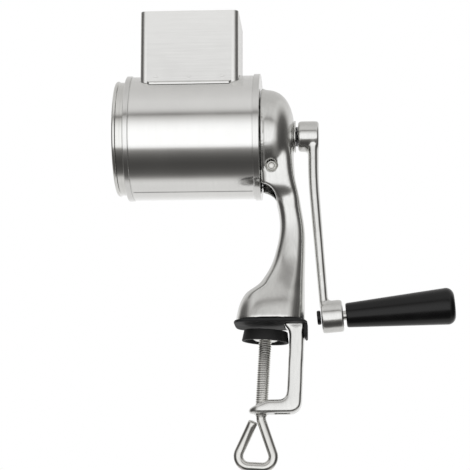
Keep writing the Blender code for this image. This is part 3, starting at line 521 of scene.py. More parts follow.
def spread(tree, value, low, high, start=0.3, end=0.7):
    """A noise value stretched to run from low to high."""
    return add(
        tree,
        "ShaderNodeMapRange",
        {"Value": value, "From Min": start, "From Max": end, "To Min": low, "To Max": high},
    ).outputs["Result"]


def tinted(tree, factor, first, second):
    """A colour between the first (at 0) and the second (at 1)."""
    ends = [value if isinstance(value, bpy.types.NodeSocket) else (*value, 1) for value in (first, second)]
    mix = add(tree, "ShaderNodeMix", data_type="RGBA")
    for socket, value in zip((mix.inputs[0], mix.inputs[6], mix.inputs[7]), (factor, *ends)):
        if isinstance(value, bpy.types.NodeSocket):
            tree.links.new(value, socket)
        else:
            socket.default_value = value
    return mix.outputs[2]


def scaled(value, by):
    """A colour made lighter or darker."""
    return tuple(min(1.0, channel * by) for channel in value)


def worn(tree, start, end):
    """0 on open surface and 1 on the piece's convex edges, where handling rubs it."""
    pointiness = add(tree, "ShaderNodeNewGeometry").outputs["Pointiness"]
    return spread(tree, pointiness, 0, 1, start, end)


def raised(tree, height, depth, normal=None):
    """The surface's normal with a texture pressed into it, this deep in metres."""
    inputs = {"Height": height, "Distance": depth, "Strength": 1.0}
    if normal:
        inputs["Normal"] = normal
    return add(tree, "ShaderNodeBump", inputs).outputs["Normal"]


def metal(name, tint, roughness, streaks, depth, cloud=45, cloud_depth=0.0, wear=(0.53, 0.62)):
    """Bare metal: fine marks along one way, clouded polish, and edges rubbed brighter."""
    if name in bpy.data.materials:
        return bpy.data.materials[name]
    look = bpy.data.materials.new(name)
    look.use_nodes = True
    tree = look.node_tree
    shader = tree.nodes["Principled BSDF"]
    marks = grain(tree, streaks, 4.0, 0.65)
    clouds = grain(tree, (cloud, cloud, cloud), 2.0)
    base = tinted(tree, spread(tree, clouds, 0, 1), scaled(tint, 0.94), scaled(tint, 1.05))
    streaked = tinted(tree, spread(tree, marks, 0, 0.5), base, scaled(tint, 0.86))
    edged = tinted(tree, worn(tree, *wear), streaked, scaled(tint, 1.16))
    low, high = roughness
    rough = add(
        tree,
        "ShaderNodeMath",
        {0: spread(tree, marks, low, (low + high) / 2), 1: spread(tree, clouds, 0, (high - low) / 2)},
        operation="ADD",
    )
    tree.links.new(edged, shader.inputs["Base Color"])
    tree.links.new(rough.outputs[0], shader.inputs["Roughness"])
    normal = raised(tree, marks, depth)
    if cloud_depth:
        normal = raised(tree, clouds, cloud_depth, normal)
    tree.links.new(normal, shader.inputs["Normal"])
    shader.inputs["Metallic"].default_value = 1.0
    return look


def moulded(name, tint, roughness, fine, depth, dust, dust_share, cloud=60):
    """Rubber or plastic: a fine moulded grain, uneven gloss and a little dust in patches."""
    if name in bpy.data.materials:
        return bpy.data.materials[name]
    look = bpy.data.materials.new(name)
    look.use_nodes = True
    tree = look.node_tree
    shader = tree.nodes["Principled BSDF"]
    pebbles = grain(tree, (fine, fine, fine), 3.0, 0.7)
    clouds = grain(tree, (cloud, cloud, cloud), 3.0)
    dusty = tinted(tree, spread(tree, clouds, 0, dust_share, 0.45, 0.75), tint, dust)
    speckled = tinted(tree, spread(tree, pebbles, 0, 0.35), dusty, scaled(tint, 0.7))
    edged = tinted(tree, worn(tree, 0.54, 0.7), speckled, scaled(dust, 0.8))
    tree.links.new(edged, shader.inputs["Base Color"])
    tree.links.new(spread(tree, clouds, *roughness), shader.inputs["Roughness"])
    tree.links.new(raised(tree, pebbles, depth), shader.inputs["Normal"])
    shader.inputs["Specular IOR Level"].default_value = 0.35
    return look


def finish(kind):
    """The named finish, made the first time that it is asked for."""
    tint = {
        key: tuple(getattr(bpy.context.scene.grater.finishes, key))
        for key in ("barrel", "hopper", "polished", "cast", "zinc", "nylon", "rubber", "plastic")
    }
    makers = {
        "rolled_steel": lambda: metal(
            "rolled steel", tint["barrel"], (0.09, 0.17), (2600, 30, 30), 0.4e-5, cloud_depth=0.3e-4
        ),
        "brushed_steel": lambda: metal(
            "brushed steel", tint["hopper"], (0.17, 0.29), (24, 24, 2600), 0.5e-5, cloud_depth=1.0e-4
        ),
        "polished_steel": lambda: metal(
            "polished steel", tint["polished"], (0.05, 0.14), (1800, 40, 40), 0.3e-5, cloud_depth=0.2e-4
        ),
        "satin_casting": lambda: metal(
            "satin casting", tint["cast"], (0.15, 0.25), (900, 900, 120), 0.25e-5, 50, 0.5e-4, (0.52, 0.60)
        ),
        "die_casting": lambda: metal(
            "die casting", tint["cast"], (0.10, 0.20), (1100, 1100, 260), 0.4e-5, 130, 0.7e-4, (0.52, 0.60)
        ),
        "zinc_plate": lambda: metal(
            "zinc plate", tint["zinc"], (0.14, 0.28), (1500, 1500, 700), 0.6e-5, 220, 0.2e-4
        ),
        "bright_steel": lambda: metal(
            "bright steel", tint["zinc"], (0.10, 0.20), (900, 900, 300), 0.25e-5, 160, 0.1e-4
        ),
        "nylon": lambda: moulded(
            "natural nylon", tint["nylon"], (0.38, 0.50), 1800, 0.8e-5, (0.62, 0.60, 0.55), 0.4
        ),
        "rubber": lambda: moulded(
            "black rubber", tint["rubber"], (0.48, 0.66), 2600, 2.2e-5, (0.07, 0.07, 0.068), 0.35
        ),
        "gloss_plastic": lambda: moulded(
            "gloss black plastic", tint["plastic"], (0.18, 0.27), 1300, 0.2e-5, (0.02, 0.02, 0.02), 0.25, 90
        ),
    }
    return makers[kind]()


# Housing ------------------------------------------------------------------------------------------


class GRATER_OT_barrel(bpy.types.Operator):
    """Roll the barrel with its rim, groove and seam, and cut the hopper's mouth through it"""

    bl_idname = "grater.barrel"
    bl_label = "Barrel"

    def execute(self, context):
        s = context.scene.grater.housing
        front, rear, rim_r = reach("housing_barrel")
        radius = rim_r - s.rim_raise
        inner = radius - s.sheet
        shoulder = front + s.rim_length
        bottom = radius - s.groove
        profile = [(front + s.rim_raise / 3, inner), (front, inner + s.rim_raise / 3)]
        profile += arc((front + s.rim_raise, radius), s.rim_raise, 180, 90, 8)
        profile += arc((shoulder - s.rim_raise, radius), s.rim_raise, 90, 0, 8)
        profile += [(shoulder, bottom), (shoulder + s.groove, bottom), (shoulder + s.groove, radius)]
        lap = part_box("housing_back")[0].x
        profile += [(lap - s.groove, radius), (lap - s.groove, bottom)]
        profile += [(lap + GAP, bottom), (lap + GAP, radius)]
        profile += [(rear - s.sheet / 4, radius), (rear, radius - s.sheet / 4), (rear, inner)]
        shell = at_axis(spun(profile, 160, closed=True))
        low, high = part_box("hopper")
        mouth = rounded_box(
            low.x + s.sheet,
            high.x - s.sheet,
            mouth_low_y() + s.sheet,
            -mouth_low_y() - s.sheet,
            s.mouth_corner,
        )
        span = lap - shoulder - 4 * s.groove
        seam = block((span, s.seam_width, 2 * s.seam_depth), ((lap + shoulder) / 2, 0, radius))
        seam = at_axis(placed(seam, Matrix.Rotation(pi - s.seam_place, 4, "X")))
        shell = carved(carved(shell, [pulled(mouth, AXIS_Z, AXIS_Z + 2 * radius)]), [seam])
        piece("barrel", "housing_barrel", shell, finish("rolled_steel"))
        return {"FINISHED"}


def mouth_low_y():
    """The chute's front wall, found on the hopper's node above the barrel."""
    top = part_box("hopper")[1].z
    places = [v.co.y for v in frame["nodes"]["hopper"].data.vertices if v.co.z > top - MM]
    return min(places)


class GRATER_OT_back(bpy.types.Operator):
    """Spin the back with its rounded flange, pressed ring and hole"""

    bl_idname = "grater.back"
    bl_label = "Back"

    def execute(self, context):
        s = context.scene.grater.housing
        lip, face, outer = reach("housing_back")
        flange = outer - s.back_flange
        inside = face - s.back_sheet
        corner = 0.35 * s.back_sheet
        press = 0.4 * s.back_sheet
        ring = (outer + s.back_hole) / 2
        outline = [(lip, flange), (lip, outer), (face, outer), (face, ring + 3 * s.back_sheet)]
        outline += [(face - press, ring + 2 * s.back_sheet), (face - press, ring - 2 * s.back_sheet)]
        outline += [(face, ring - 3 * s.back_sheet), (face, s.back_hole), (inside, s.back_hole)]
        outline += [(inside, flange)]
        profile = eased([*outline, outline[0]], corner)[:-1]
        cover = at_axis(spun(profile, 144, closed=True))
        piece("back_cover", "housing_back", cover, finish("rolled_steel"))
        return {"FINISHED"}


class GRATER_OT_hopper(bpy.types.Operator):
    """Fold the chute, seat its saddle on the barrel and spot-weld the tabs"""

    bl_idname = "grater.hopper"
    bl_label = "Hopper"

    def execute(self, context):
        s = context.scene.grater.housing
        low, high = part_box("hopper")
        barrel_r = reach("housing_barrel")[2] - s.rim_raise
        seat = barrel_r + GAP
        wall = -mouth_low_y()
        start = AXIS_Z + seat / 2
        outside = rounded_box(low.x, high.x, -wall, wall, s.mouth_corner + s.sheet)
        inside = rounded_box(
            low.x + s.sheet, high.x - s.sheet, s.sheet - wall, wall - s.sheet, s.mouth_corner
        )
        far = high.x - low.x
        front, rear = low.x - far, high.x + far
        space = at_axis(spun([(front, 0), (front, seat), (rear, seat), (rear, 0)], 160))
        sheet = [(front, seat), (front, seat + s.sheet), (rear, seat + s.sheet), (rear, seat)]
        deep = wall + s.tab_reach
        middle = (low.x + high.x) / 2
        half = far / 2
        plan = [(half, deep - s.tab_corner), (half - s.tab_corner, deep), (s.tab_corner - half, deep)]
        plan += [(-half, deep - s.tab_corner)]
        plan += [(-x, -y) for x, y in plan]
        plan = [(middle + x, y) for x, y in plan]
        saddle = carved(at_axis(spun(sheet, 160, closed=True)), [pulled(plan, start, high.z)], "INTERSECT")
        chute = carved(pulled(outside, start, high.z), [space])
        chute = carved(chute, [saddle], "UNION")
        chute = carved(chute, [pulled(inside, AXIS_Z, high.z + MM)])
        chute = softened(chute, s.sheet / 4)
        foot = AXIS_Z + sqrt(seat**2 - wall**2)
        welds = [
            spot_weld((middle + i * s.weld_pitch, side * wall, foot + s.weld_rise), side, s.weld_radius)
            for i in (-1, 0, 1)
            for side in (-1, 1)
        ]
        piece("hopper_chute", "hopper", together(chute, *welds), finish("brushed_steel"), sharp=14)
        return {"FINISHED"}


def spot_weld(place, side, size):
    """A low round nugget on the chute's wall, with a dimple in its middle."""
    profile = [(-size / 4, size), (size / 12, 0.8 * size), (size / 7, 0.6 * size), (size / 12, 0.35 * size)]
    profile += [(-size / 12, 0.2 * size), (-size / 12, 0), (-size / 4, 0)]
    nugget = spun(profile, 32, "Z", closed=True)
    return placed(nugget, Matrix.Translation(place) @ Matrix.Rotation(-side * pi / 2, 4, "X"))


# Casting ------------------------------------------------------------------------------------------

BELL_R = 31 * MM
BELL_LIP_LENGTH = 2.1 * MM
BELL_DEPTH = 18.6 * MM
BELL_CURVE = 2.5  # power of the bell's outline: 2 is an ellipse, and more is squarer
BELL_FLOOR = 13 * MM
BOSS_FRONT = 3 * MM
ARM_TOP = 0.933
# (share of the axis height, millimetres) pairs that the arm's front, back and half width pass through.
ARM_FRONT = (
    (0, -19.4), (0.083, -17.6), (0.158, -13.6), (0.22, -3.9), (0.358, 5), (0.517, 8.5),
    (0.633, 6.6), (0.68, 0.5), (0.72, -4), (0.8, -4.6), (0.933, -1),
)
ARM_BACK = ((0, 23.6), (0.208, 23.7), (0.45, 24.2), (0.65, 21.2), (0.792, 17.9), (0.933, 16.8))
ARM_HALF_WIDTH = (
    (0, 21), (0.1, 19.5), (0.217, 15.5), (0.358, 12.4),
    (0.5, 11.5), (0.65, 14), (0.72, 18), (0.933, 23),
)
# (share of the axis height, power) pairs: 2 is an ellipse, and more is squarer.
ARM_SQUARENESS = ((0, 2.8), (0.6, 2.8), (0.7, 4.5), (0.85, 4.5), (0.933, 2.8))
COLUMN_TOP_X = (14.2 * MM, 23.5 * MM)
COLUMN_FOOT_X = (12.4 * MM, 21.4 * MM)
COLUMN_WEB = 6 * MM
COLUMN_WEB_TURN = 62  # degrees
TONGUE_EDGE = 1.3 * MM
LUG_R, LUG_LENGTH = 4.2 * MM, 12 * MM
ROUGH_SKIN = 0.9 * MM
LOFT_STEPS = 64
NECK_LOW, NECK_HIGH = AXIS_Z - 40 * MM, AXIS_Z - 8 * MM
NECK_FRONT = 4 * MM
NECK_SQUARENESS = 5
ARCH_X, ARCH_Z = -3.1 * MM, AXIS_Z - 42.7 * MM
BUSH_BORE_R = 8.3 * MM
SCREW_SEAT_DEPTH = 1.7 * MM
# The pocket under the foot: its two sides along X, its half width, its corner and its half depth.
POCKET_X = (4.5 * MM, 14 * MM)
POCKET_HALF_WIDTH, POCKET_CORNER, POCKET_DEPTH = 5 * MM, 2 * MM, 3 * MM


def bell_mouth():
    """Where the bell's mouth lies along X, just behind the housing's back."""
    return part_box("housing_back")[1].x + GAP


def bell_face():
    """The flat of the bell, which the steel washer lies on."""
    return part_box("steel_washer")[0].x - GAP


def dome(radius, start, depth, stop, steps=26):
    """(x, r) points of the bell's curve from its mouth to a flat at stop."""
    points = []
    for i in range(steps + 1):
        x = start + (stop - start) * sin(pi / 2 * i / steps)
        points.append((x, radius * (1 - ((x - start) / depth) ** BELL_CURVE) ** (1 / BELL_CURVE)))
    return points


def bell_outside(s):
    """The bell as a solid, with the lip at its mouth."""
    mouth = bell_mouth()
    start = mouth + BELL_LIP_LENGTH
    curve = dome(BELL_R - s.lip, start, BELL_DEPTH, bell_face())
    lip = eased([(mouth, 0), (mouth, BELL_R), (start - s.lip / 2, BELL_R), curve[0]], s.lip / 2)
    return at_axis(spun([*lip[:-1], *curve, (bell_face(), 0)], 128))


def bell_hollow(s):
    """The space inside the bell, less the boss for the bush and the lugs for the back's screws."""
    mouth = bell_mouth()
    inner = BELL_R - s.lip - s.wall
    start = mouth + BELL_LIP_LENGTH
    boss = (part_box("shaft_bush")[1].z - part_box("shaft_bush")[0].z) / 2
    curve = [p for p in dome(inner, start, BELL_FLOOR - start + MM, BELL_FLOOR) if p[1] > boss]
    profile = [(mouth - MM, 0), (mouth - MM, inner + GAP), *curve, (curve[-1][0], boss)]
    hollow = at_axis(spun([*profile, (BOSS_FRONT, boss), (BOSS_FRONT, 0)], 96))
    lugs = []
    for number in (1, 2, 3):
        low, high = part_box(f"housing_screw_{number}")
        y, z = (low.y + high.y) / 2, (low.z + high.z) / 2
        lug = (mouth + GAP, y, z)
        lugs.append(rod(lug, (mouth + LUG_LENGTH, y, z), LUG_R, 24))
    return carved(hollow, lugs)


def neck_hollow():
    """The pocket that carries the bell's hollow down into the arm, open to the front."""
    low, high, deep = 0.64 * AXIS_Z, 0.82 * AXIS_Z, 12 * MM
    steps, steepness, share_of_width = 12, 2.2, 0.8
    levels = []
    for i in range(steps + 1):
        z = low + (high - low) * i / steps
        front, half = (through(edge, z / AXIS_Z) * MM for edge in (ARM_FRONT, ARM_HALF_WIDTH))
        depth = deep * sin(pi / 2 * min(1, steepness * i / steps))
        half *= share_of_width
        levels.append((z, superellipse(front - deep, front + depth, half, NECK_SQUARENESS, 48)))
    return lofted(levels)


def column(s):
    """The column down the table's edge and the tongue under it, round at its free end."""
    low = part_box("frame_casting")[0]
    under, top = low.z, low.z + s.tongue
    root, fillet, corner = 8 * MM, 4 * MM, 7 * MM
    nose_rise, nose_reach = 3 * MM, 0.6 * MM
    nose = clamp_origin(s).x - s.tongue_width / 2
    outline = [(nose, under + nose_rise), (nose_reach, top)]
    outline += arc((COLUMN_FOOT_X[0] - fillet, top + fillet), fillet, -90, 0, 8)
    outline += arc((COLUMN_TOP_X[0] - COLUMN_WEB, -COLUMN_WEB), COLUMN_WEB, 0, COLUMN_WEB_TURN, 8)
    outline += [(outline[-1][0], root), (COLUMN_TOP_X[1], root), (COLUMN_TOP_X[1], 0)]
    outline += arc((COLUMN_FOOT_X[1] - corner, under + corner), corner, 0, -90, 10)
    half = s.tongue_width / 2
    side = pulled([*outline, (nose, under)], -half, half, "XZ", TONGUE_EDGE, 4)
    plan = arc((nose + half, 0), half - GAP / 4, 90, 270, 32)
    plan += [(COLUMN_TOP_X[1] + half, -2 * half), (COLUMN_TOP_X[1] + half, 2 * half)]
    return carved(side, [pulled(plan, 2 * under, 2 * root)], "INTERSECT")


def clamp_origin(s):
    """Where the clamp screw's axis crosses the middle of the tongue."""
    pivot = Vector(JOINT["screw_turn"]["pos_m"])
    up = Vector(JOINT["screw_turn"]["axis"])
    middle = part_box("frame_casting")[0].z + s.tongue / 2
    return pivot - up * (pivot.z - middle) / up.z


def leaning(origin, up):
    """The place of a shape that stands along Z at the origin and shall lean in the XZ plane."""
    up = Vector(up).normalized()
    across = Vector((0, 1, 0)).cross(up)
    turn = Matrix((across, (0, 1, 0), up)).transposed()
    return Matrix.Translation(origin) @ turn.to_4x4()


class GRATER_OT_casting(bpy.types.Operator):
    """Cast the bell, arm, column and tongue in one skin, hollow it and bore it"""

    bl_idname = "grater.casting"
    bl_label = "Casting"

    def execute(self, context):
        s = context.scene.grater.casting
        pad_top = frame_pad_top() + GAP
        step = (ARM_TOP * AXIS_Z - pad_top) / LOFT_STEPS
        levels = []
        for i in range(LOFT_STEPS + 1):
            z = pad_top + step * i
            place = z / AXIS_Z
            sides = (through(edge, place) * MM for edge in (ARM_FRONT, ARM_BACK, ARM_HALF_WIDTH))
            levels.append((z, superellipse(*sides, through(ARM_SQUARENESS, place), 80)))
        rough = skinned(together(bell_outside(s), lofted(levels), column(s)), ROUGH_SKIN)
        rough = smoothed(
            rough, s.blend_passes, lambda co: NECK_LOW < co.z < NECK_HIGH and co.x > NECK_FRONT
        )
        rough = smoothed(rough, 3, lambda co: co.z > pad_top + 3 * MM)
        rough = smoothed(rough, s.column_passes, lambda co: co.z < -3 * MM)
        cuts = [rod((ARCH_X, -BELL_R, ARCH_Z), (ARCH_X, BELL_R, ARCH_Z), s.arch, 64)]
        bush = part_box("shaft_bush")
        cuts.append(rod((BOSS_FRONT - MM, 0, AXIS_Z), (bush[1].x + 2 * MM, 0, AXIS_Z), BUSH_BORE_R, 64))
        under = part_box("frame_casting")[0].z
        pocket = rounded_box(*POCKET_X, -POCKET_HALF_WIDTH, POCKET_HALF_WIDTH, POCKET_CORNER)
        cuts.append(pulled(pocket, under - POCKET_DEPTH, under + POCKET_DEPTH))
        screw = context.scene.grater.clamp.screw
        way = rod((0, 0, -s.tongue), (0, 0, s.tongue), screw + GAP, 48)
        cuts.append(placed(way, leaning(clamp_origin(s), JOINT["screw_turn"]["axis"])))
        low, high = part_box("bell_side_screw")
        x, z, seat_r = (low.x + high.x) / 2, (low.z + high.z) / 2, (high.z - low.z) / 2 + 2 * GAP
        cuts.append(rod((x, low.y - 5 * MM, z), (x, low.y + SCREW_SEAT_DEPTH, z), seat_r, 32))
        cuts.append(bell_hollow(s))
        cuts.append(neck_hollow())
        solid = rough
        for cut in cuts:
            solid = carved(solid, [cut])
        skin = smoothed(skinned(solid, s.skin), s.soften)
        piece("arm_casting", "frame_casting", skin, finish("satin_casting"), sharp=80)
        return {"FINISHED"}


def frame_pad_top():
    """The pad's upper face, which the foot stands on."""
    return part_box("rubber_pad")[1].z


# Fasteners, bush, pad and washers -----------------------------------------------------------------


COVER_HEAD_T, COVER_SHANK_R = 2 * MM, 2 * MM
COVER_TURN = 17  # degrees from each screw's recess to the next
SIDE_HEAD_T, SIDE_SHANK_R = 1.4 * MM, 1.6 * MM
SCREW_PITCH = 0.7 * MM
THREAD_SHARE = 0.54  # depth of a thread, as a share of its pitch
BUSH_WALL, BUSH_FLANGE = 1.6 * MM, 1.5 * MM
PAD_SQUARENESS = 4.5
PAD_SKIN = 0.42 * MM


def machine_screw(head_r, head_t, shank_r, long, pitch):
    """A round-headed screw along X, with its head's seat at 0, a cross recess and a real thread."""
    crown = head_t / 2
    outline = [(-head_t, 0), (-head_t, head_r * 0.35)]
    outline += [*arc((-crown, head_r - crown), crown, 170, 90, 6), (0, head_r), (0, 0)]
    head = spun(outline, 40)
    deep, slot, wide = 0.9 * head_t, 0.26 * head_r, 1.25 * head_r
    for size in ((deep, slot, wide), (deep, wide, slot)):
        head = carved(head, [block(size, (-head_t, 0, 0))])
    shank = thread(-GAP, long, shank_r, THREAD_SHARE * pitch, pitch, 16)
    return together(softened(head, 0.05 * head_r), placed(shank, Matrix.Rotation(pi / 2, 4, "Y")))


class GRATER_OT_fasteners(bpy.types.Operator):
    """Turn the three screws of the housing's back and the one in the bell's side"""

    bl_idname = "grater.fasteners"
    bl_label = "Screws"

    def execute(self, context):
        for number in (1, 2, 3):
            node = f"housing_screw_{number}"
            low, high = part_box(node)
            head_r = (high.z - low.z) / 2
            long = high.x - low.x - COVER_HEAD_T
            screw = machine_screw(head_r, COVER_HEAD_T, COVER_SHANK_R, long, SCREW_PITCH)
            seat = (low.x + COVER_HEAD_T, (low.y + high.y) / 2, (low.z + high.z) / 2)
            turn = Matrix.Rotation(radians(COVER_TURN * number), 4, "X")
            screw = placed(screw, Matrix.Translation(seat) @ turn)
            piece(f"cover_screw_{number}", node, screw, finish("zinc_plate"))
        low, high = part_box("bell_side_screw")
        long = high.y - low.y - SIDE_HEAD_T
        screw = dished_screw((high.z - low.z) / 2, SIDE_HEAD_T, SIDE_SHANK_R, long)
        seat = ((low.x + high.x) / 2, low.y + SIDE_HEAD_T, (low.z + high.z) / 2)
        screw = placed(screw, Matrix.Translation(seat) @ Matrix.Rotation(pi / 2, 4, "Z"))
        piece("bell_screw", "bell_side_screw", screw, finish("zinc_plate"))
        return {"FINISHED"}


def dished_screw(head_r, head_t, shank_r, long):
    """A small screw along X whose head has a rolled rim round a dished middle with a socket."""
    rim = arc((-0.6 * head_t, 0.82 * head_r), 0.18 * head_r, 90, 230, 8)[::-1]
    rim = [(x - 0.14 * head_t, r) for x, r in rim]
    middle = [(-0.35 * head_t, 0), (-0.35 * head_t, 0.52 * head_r)]
    head = spun([*middle, *rim, (0, head_r), (0, 0)], 40)
    socket = rod((-head_t, 0, 0), (-0.12 * head_t, 0, 0), 0.34 * head_r, 6)
    shank = thread(-GAP, long, shank_r, SCREW_PITCH / 2, SCREW_PITCH, 16)
    return together(carved(head, [socket]), placed(shank, Matrix.Rotation(pi / 2, 4, "Y")))


class GRATER_OT_bush(bpy.types.Operator):
    """Mould the flanged bush that the shaft turns in"""

    bl_idname = "grater.bush"
    bl_label = "Bush"

    def execute(self, context):
        low, rear, flange_r = reach("shaft_bush")
        drum = context.scene.grater.drum
        bore, outer, flange = drum.shaft + GAP, drum.shaft + GAP + BUSH_WALL, low + BUSH_FLANGE
        outline = [(low, bore), (low, flange_r), (flange, flange_r), (flange, outer)]
        outline += [(rear, outer), (rear, bore)]
        profile = eased([*outline, outline[0]], 0.4 * MM)[:-1]
        piece("nylon_bush", "shaft_bush", at_axis(spun(profile, 96, closed=True)), finish("nylon"))
        return {"FINISHED"}


class GRATER_OT_pad(bpy.types.Operator):
    """Mould the rubber pad round the column, with the lip that hangs down behind it"""

    bl_idname = "grater.pad"
    bl_label = "Pad"

    def execute(self, context):
        low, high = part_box("rubber_pad")
        casting = context.scene.grater.casting
        sheet = superellipse(low.x, high.x, high.y, PAD_SQUARENESS, 96)
        plate = pulled(sheet, 0, high.z, round_by=0.35 * high.z, segments=3)
        half = casting.tongue_width / 2 + GAP
        lip_half, reach_in, corner = half + 1.5 * MM, 2.2 * MM, 4 * MM
        drop = [(-lip_half, high.z), *arc((corner - lip_half, low.z + corner), corner, 180, 270, 8)]
        drop += [*arc((lip_half - corner, low.z + corner), corner, 270, 360, 8), (lip_half, high.z)]
        lip = pulled(drop, high.x - reach_in, high.x, "XZ", 0.5 * MM, 3)
        lip = placed(lip, Matrix.Rotation(-pi / 2, 4, "Z"))
        hole_left = COLUMN_TOP_X[0] - COLUMN_WEB * (1 - cos(radians(COLUMN_WEB_TURN))) - GAP
        hole = rounded_box(hole_left, COLUMN_TOP_X[1] + GAP, -half, half, MM)
        solid = carved(carved(plate, [lip], "UNION"), [pulled(hole, 2 * low.z, 2 * high.z)])
        skin = smoothed(skinned(solid, PAD_SKIN), 3)
        piece("table_pad", "rubber_pad", skin, finish("rubber"), sharp=70)
        return {"FINISHED"}


class GRATER_OT_washers(bpy.types.Operator):
    """Turn the steel washer on the bell and the black one under the crank"""

    bl_idname = "grater.washers"
    bl_label = "Washers"

    def execute(self, context):
        drum = context.scene.grater.drum
        rings = (
            ("thrust_washer", "steel_washer", drum.shaft + GAP, "zinc_plate"),
            ("spacer_washer", "black_washer", drum.tip + GAP, "gloss_plastic"),
        )
        for name, node, bore, look in rings:
            front, rear, radius = reach(node)
            outline = [(front, bore), (front, radius), (rear, radius), (rear, bore)]
            profile = eased([*outline, outline[0]], 0.2 * MM, 4)[:-1]
            piece(name, node, at_axis(spun(profile, 80, closed=True)), finish(look))
        return {"FINISHED"}


# Drum ---------------------------------------------------------------------------------------------


def bead_points(x, radius, low_r, high_r, side, s):
    """A rolled bead from the shell's outer face round to its inner one; side is -1 at the front."""
    centre = radius - s.bead
    start = Vector((sqrt(s.bead**2 - (high_r - centre) ** 2), high_r - centre)).angle_signed(Vector((1, 0)))
    end = Vector((sqrt(s.bead**2 - (low_r - centre) ** 2), low_r - centre)).angle_signed(Vector((1, 0)))
    points = arc((0, centre), s.bead, start * 180 / pi, 360 + end * 180 / pi, 18)
    return [(x - side * px, r) for px, r in points]


class GRATER_OT_drum(bpy.types.Operator):
    """Roll the drum's shell with its beads, punch its holes and raise their cutting lips"""

    bl_idname = "grater.drum"
    bl_label = "Drum"

    def execute(self, context):
        s = context.scene.grater.drum
        front, rear, bead_r = reach("drum_shell")
        radius = bead_r - s.bead_raise
        inner = radius - s.sheet
        roll = bead_points(front + s.bead, bead_r, inner, radius, -1, s)
        shell = spun([*roll, (rear, inner), (rear, radius)], 200, closed=True)
        spots = hole_spots(front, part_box("drum_back_plate")[1].x, radius, s)
        punch = ((0, 0, -s.hole), (0, 0, s.hole), s.hole, 24)
        shell = carved(shell, [together(*[placed(rod(*punch), spot) for spot in spots])])
        lips = together(*[placed(cutting_lip(s), spot) for spot in spots])
        piece("drum_sleeve", "drum_shell", at_axis(together(shell, lips)), finish("polished_steel"))
        inside, outside, _ = reach("drum_back_plate")
        plate_r = inner - GAP
        wall = plate_r - s.sheet
        face = inside + s.sheet
        roll = bead_points(outside - s.bead, bead_r, wall, plate_r, 1, s)
        bore = s.shaft + GAP
        corner = eased([(face, wall - 6 * s.sheet), (face, wall), (outside - 2 * s.bead, wall)], s.sheet)
        profile = [(inside, bore), (inside, plate_r - s.sheet), (inside + s.sheet, plate_r), *roll]
        profile += [*corner[::-1][1:], (face, bore)]
        end = at_axis(spun(profile, 160, closed=True))
        piece("drum_end", "drum_back_plate", end, finish("polished_steel"))
        return {"FINISHED"}


ROWS = (8, 7)  # holes in the two rows of a strip


def hole_spots(front, rear, radius, s):
    """The place and turn of each hole: two staggered rows in a strip, both slanting round the drum."""
    row_gap = s.pitch * sqrt(3) / 2
    middle = (front + rear) / 2
    spots = []
    for strip in range(s.strips):
        for row, holes in enumerate(ROWS):
            for i in range(holes):
                along = (i - (holes - 1) / 2) * s.pitch
                round_by = along / s.pitch * s.step + (row - 0.5) * row_gap
                turn = 2 * pi / s.strips * strip + round_by / radius
                place = Matrix.Translation((middle + along, 0, radius))
                spots.append(Matrix.Rotation(-turn, 4, "X") @ place)
    return spots


def cutting_lip(s):
    """A low crater round a hole, whose rim rises on the side that cuts."""
    profile = [(-s.sheet / 2, s.hole), (s.lip, s.hole)]
    profile += [(0.85 * s.lip, 1.12 * s.hole), (-s.sheet / 4, 1.4 * s.hole)]
    lowest = 0.3
    bm = spun(profile, 18, "Z", closed=True)
    for vert in bm.verts:
        if vert.co.z > 0:
            lean = 0.5 + 0.5 * vert.co.y / vert.co.xy.length
            vert.co.z *= lowest + (1 - lowest) * lean
    return bm


class GRATER_OT_shaft(bpy.types.Operator):
    """Turn the shaft with its threaded tip, and the washer that it is riveted over"""

    bl_idname = "grater.shaft"
    bl_label = "Shaft"

    def execute(self, context):
        s = context.scene.grater.drum
        front, rear, washer_r = reach("drum_hub_washer")
        bore = s.shaft + GAP
        outline = [(front, bore), (front, washer_r), (rear, washer_r), (rear, bore)]
        profile = eased([*outline, outline[0]], 0.6 * MM)[:-1]
        piece("hub_disc", "drum_hub_washer", at_axis(spun(profile, 96, closed=True)), finish("zinc_plate"))
        head, tip_end, head_r = reach("drum_shaft")
        seat = front - GAP
        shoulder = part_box("black_washer")[0].x - GAP
        outline = [(head, 0), (head, head_r), (seat, head_r), (seat, s.shaft), (shoulder - MM, s.shaft)]
        outline += [(shoulder, s.shaft - MM), (shoulder, s.tip * 0.84), (shoulder + 2 * MM, s.tip * 0.84)]
        body = spun([*eased(outline, 0.5 * MM), (shoulder + 2 * MM, 0)], 96)
        tip = thread(0, tip_end - shoulder - 0.3 * MM, s.tip, 0.58 * s.tip_pitch, s.tip_pitch)
        tip = placed(tip, Matrix.Translation((shoulder + 0.3 * MM, 0, 0)) @ Matrix.Rotation(pi / 2, 4, "Y"))
        piece("threaded_shaft", "drum_shaft", at_axis(together(body, tip)), finish("polished_steel"))
        return {"FINISHED"}


# Crank and handle ---------------------------------------------------------------------------------

CRANK_BEND = 0.18  # share of the arm that stays upright before it bends out
ARM_SHORT = 5.5 * MM  # how far the arm ends above the handle's axis
CRANK_ARM_X = 29.6 * MM
FOOT_INSET = 4.2 * MM
BOSS_LENGTH = 13.5 * MM
TOP_BOSS_LENGTH = 13 * MM
TOP_BOSS_END = 1.2 * MM
BOSS_EDGE = 1.4 * MM
CRANK_STEPS = 72
CRANK_SQUARENESS = 2.6
ROUGH_CRANK_SKIN = 0.7 * MM


def handle_frame():
    """The place of shapes made along X whose axis is the handle's."""
    axis = Vector(JOINT["grip_spin"]["axis"]).normalized()
    up = axis.cross(Vector((0, 1, 0)))
    turn = Matrix((axis, (0, 1, 0), up)).transposed()
    return Matrix.Translation(JOINT["grip_spin"]["pos_m"]) @ turn.to_4x4()


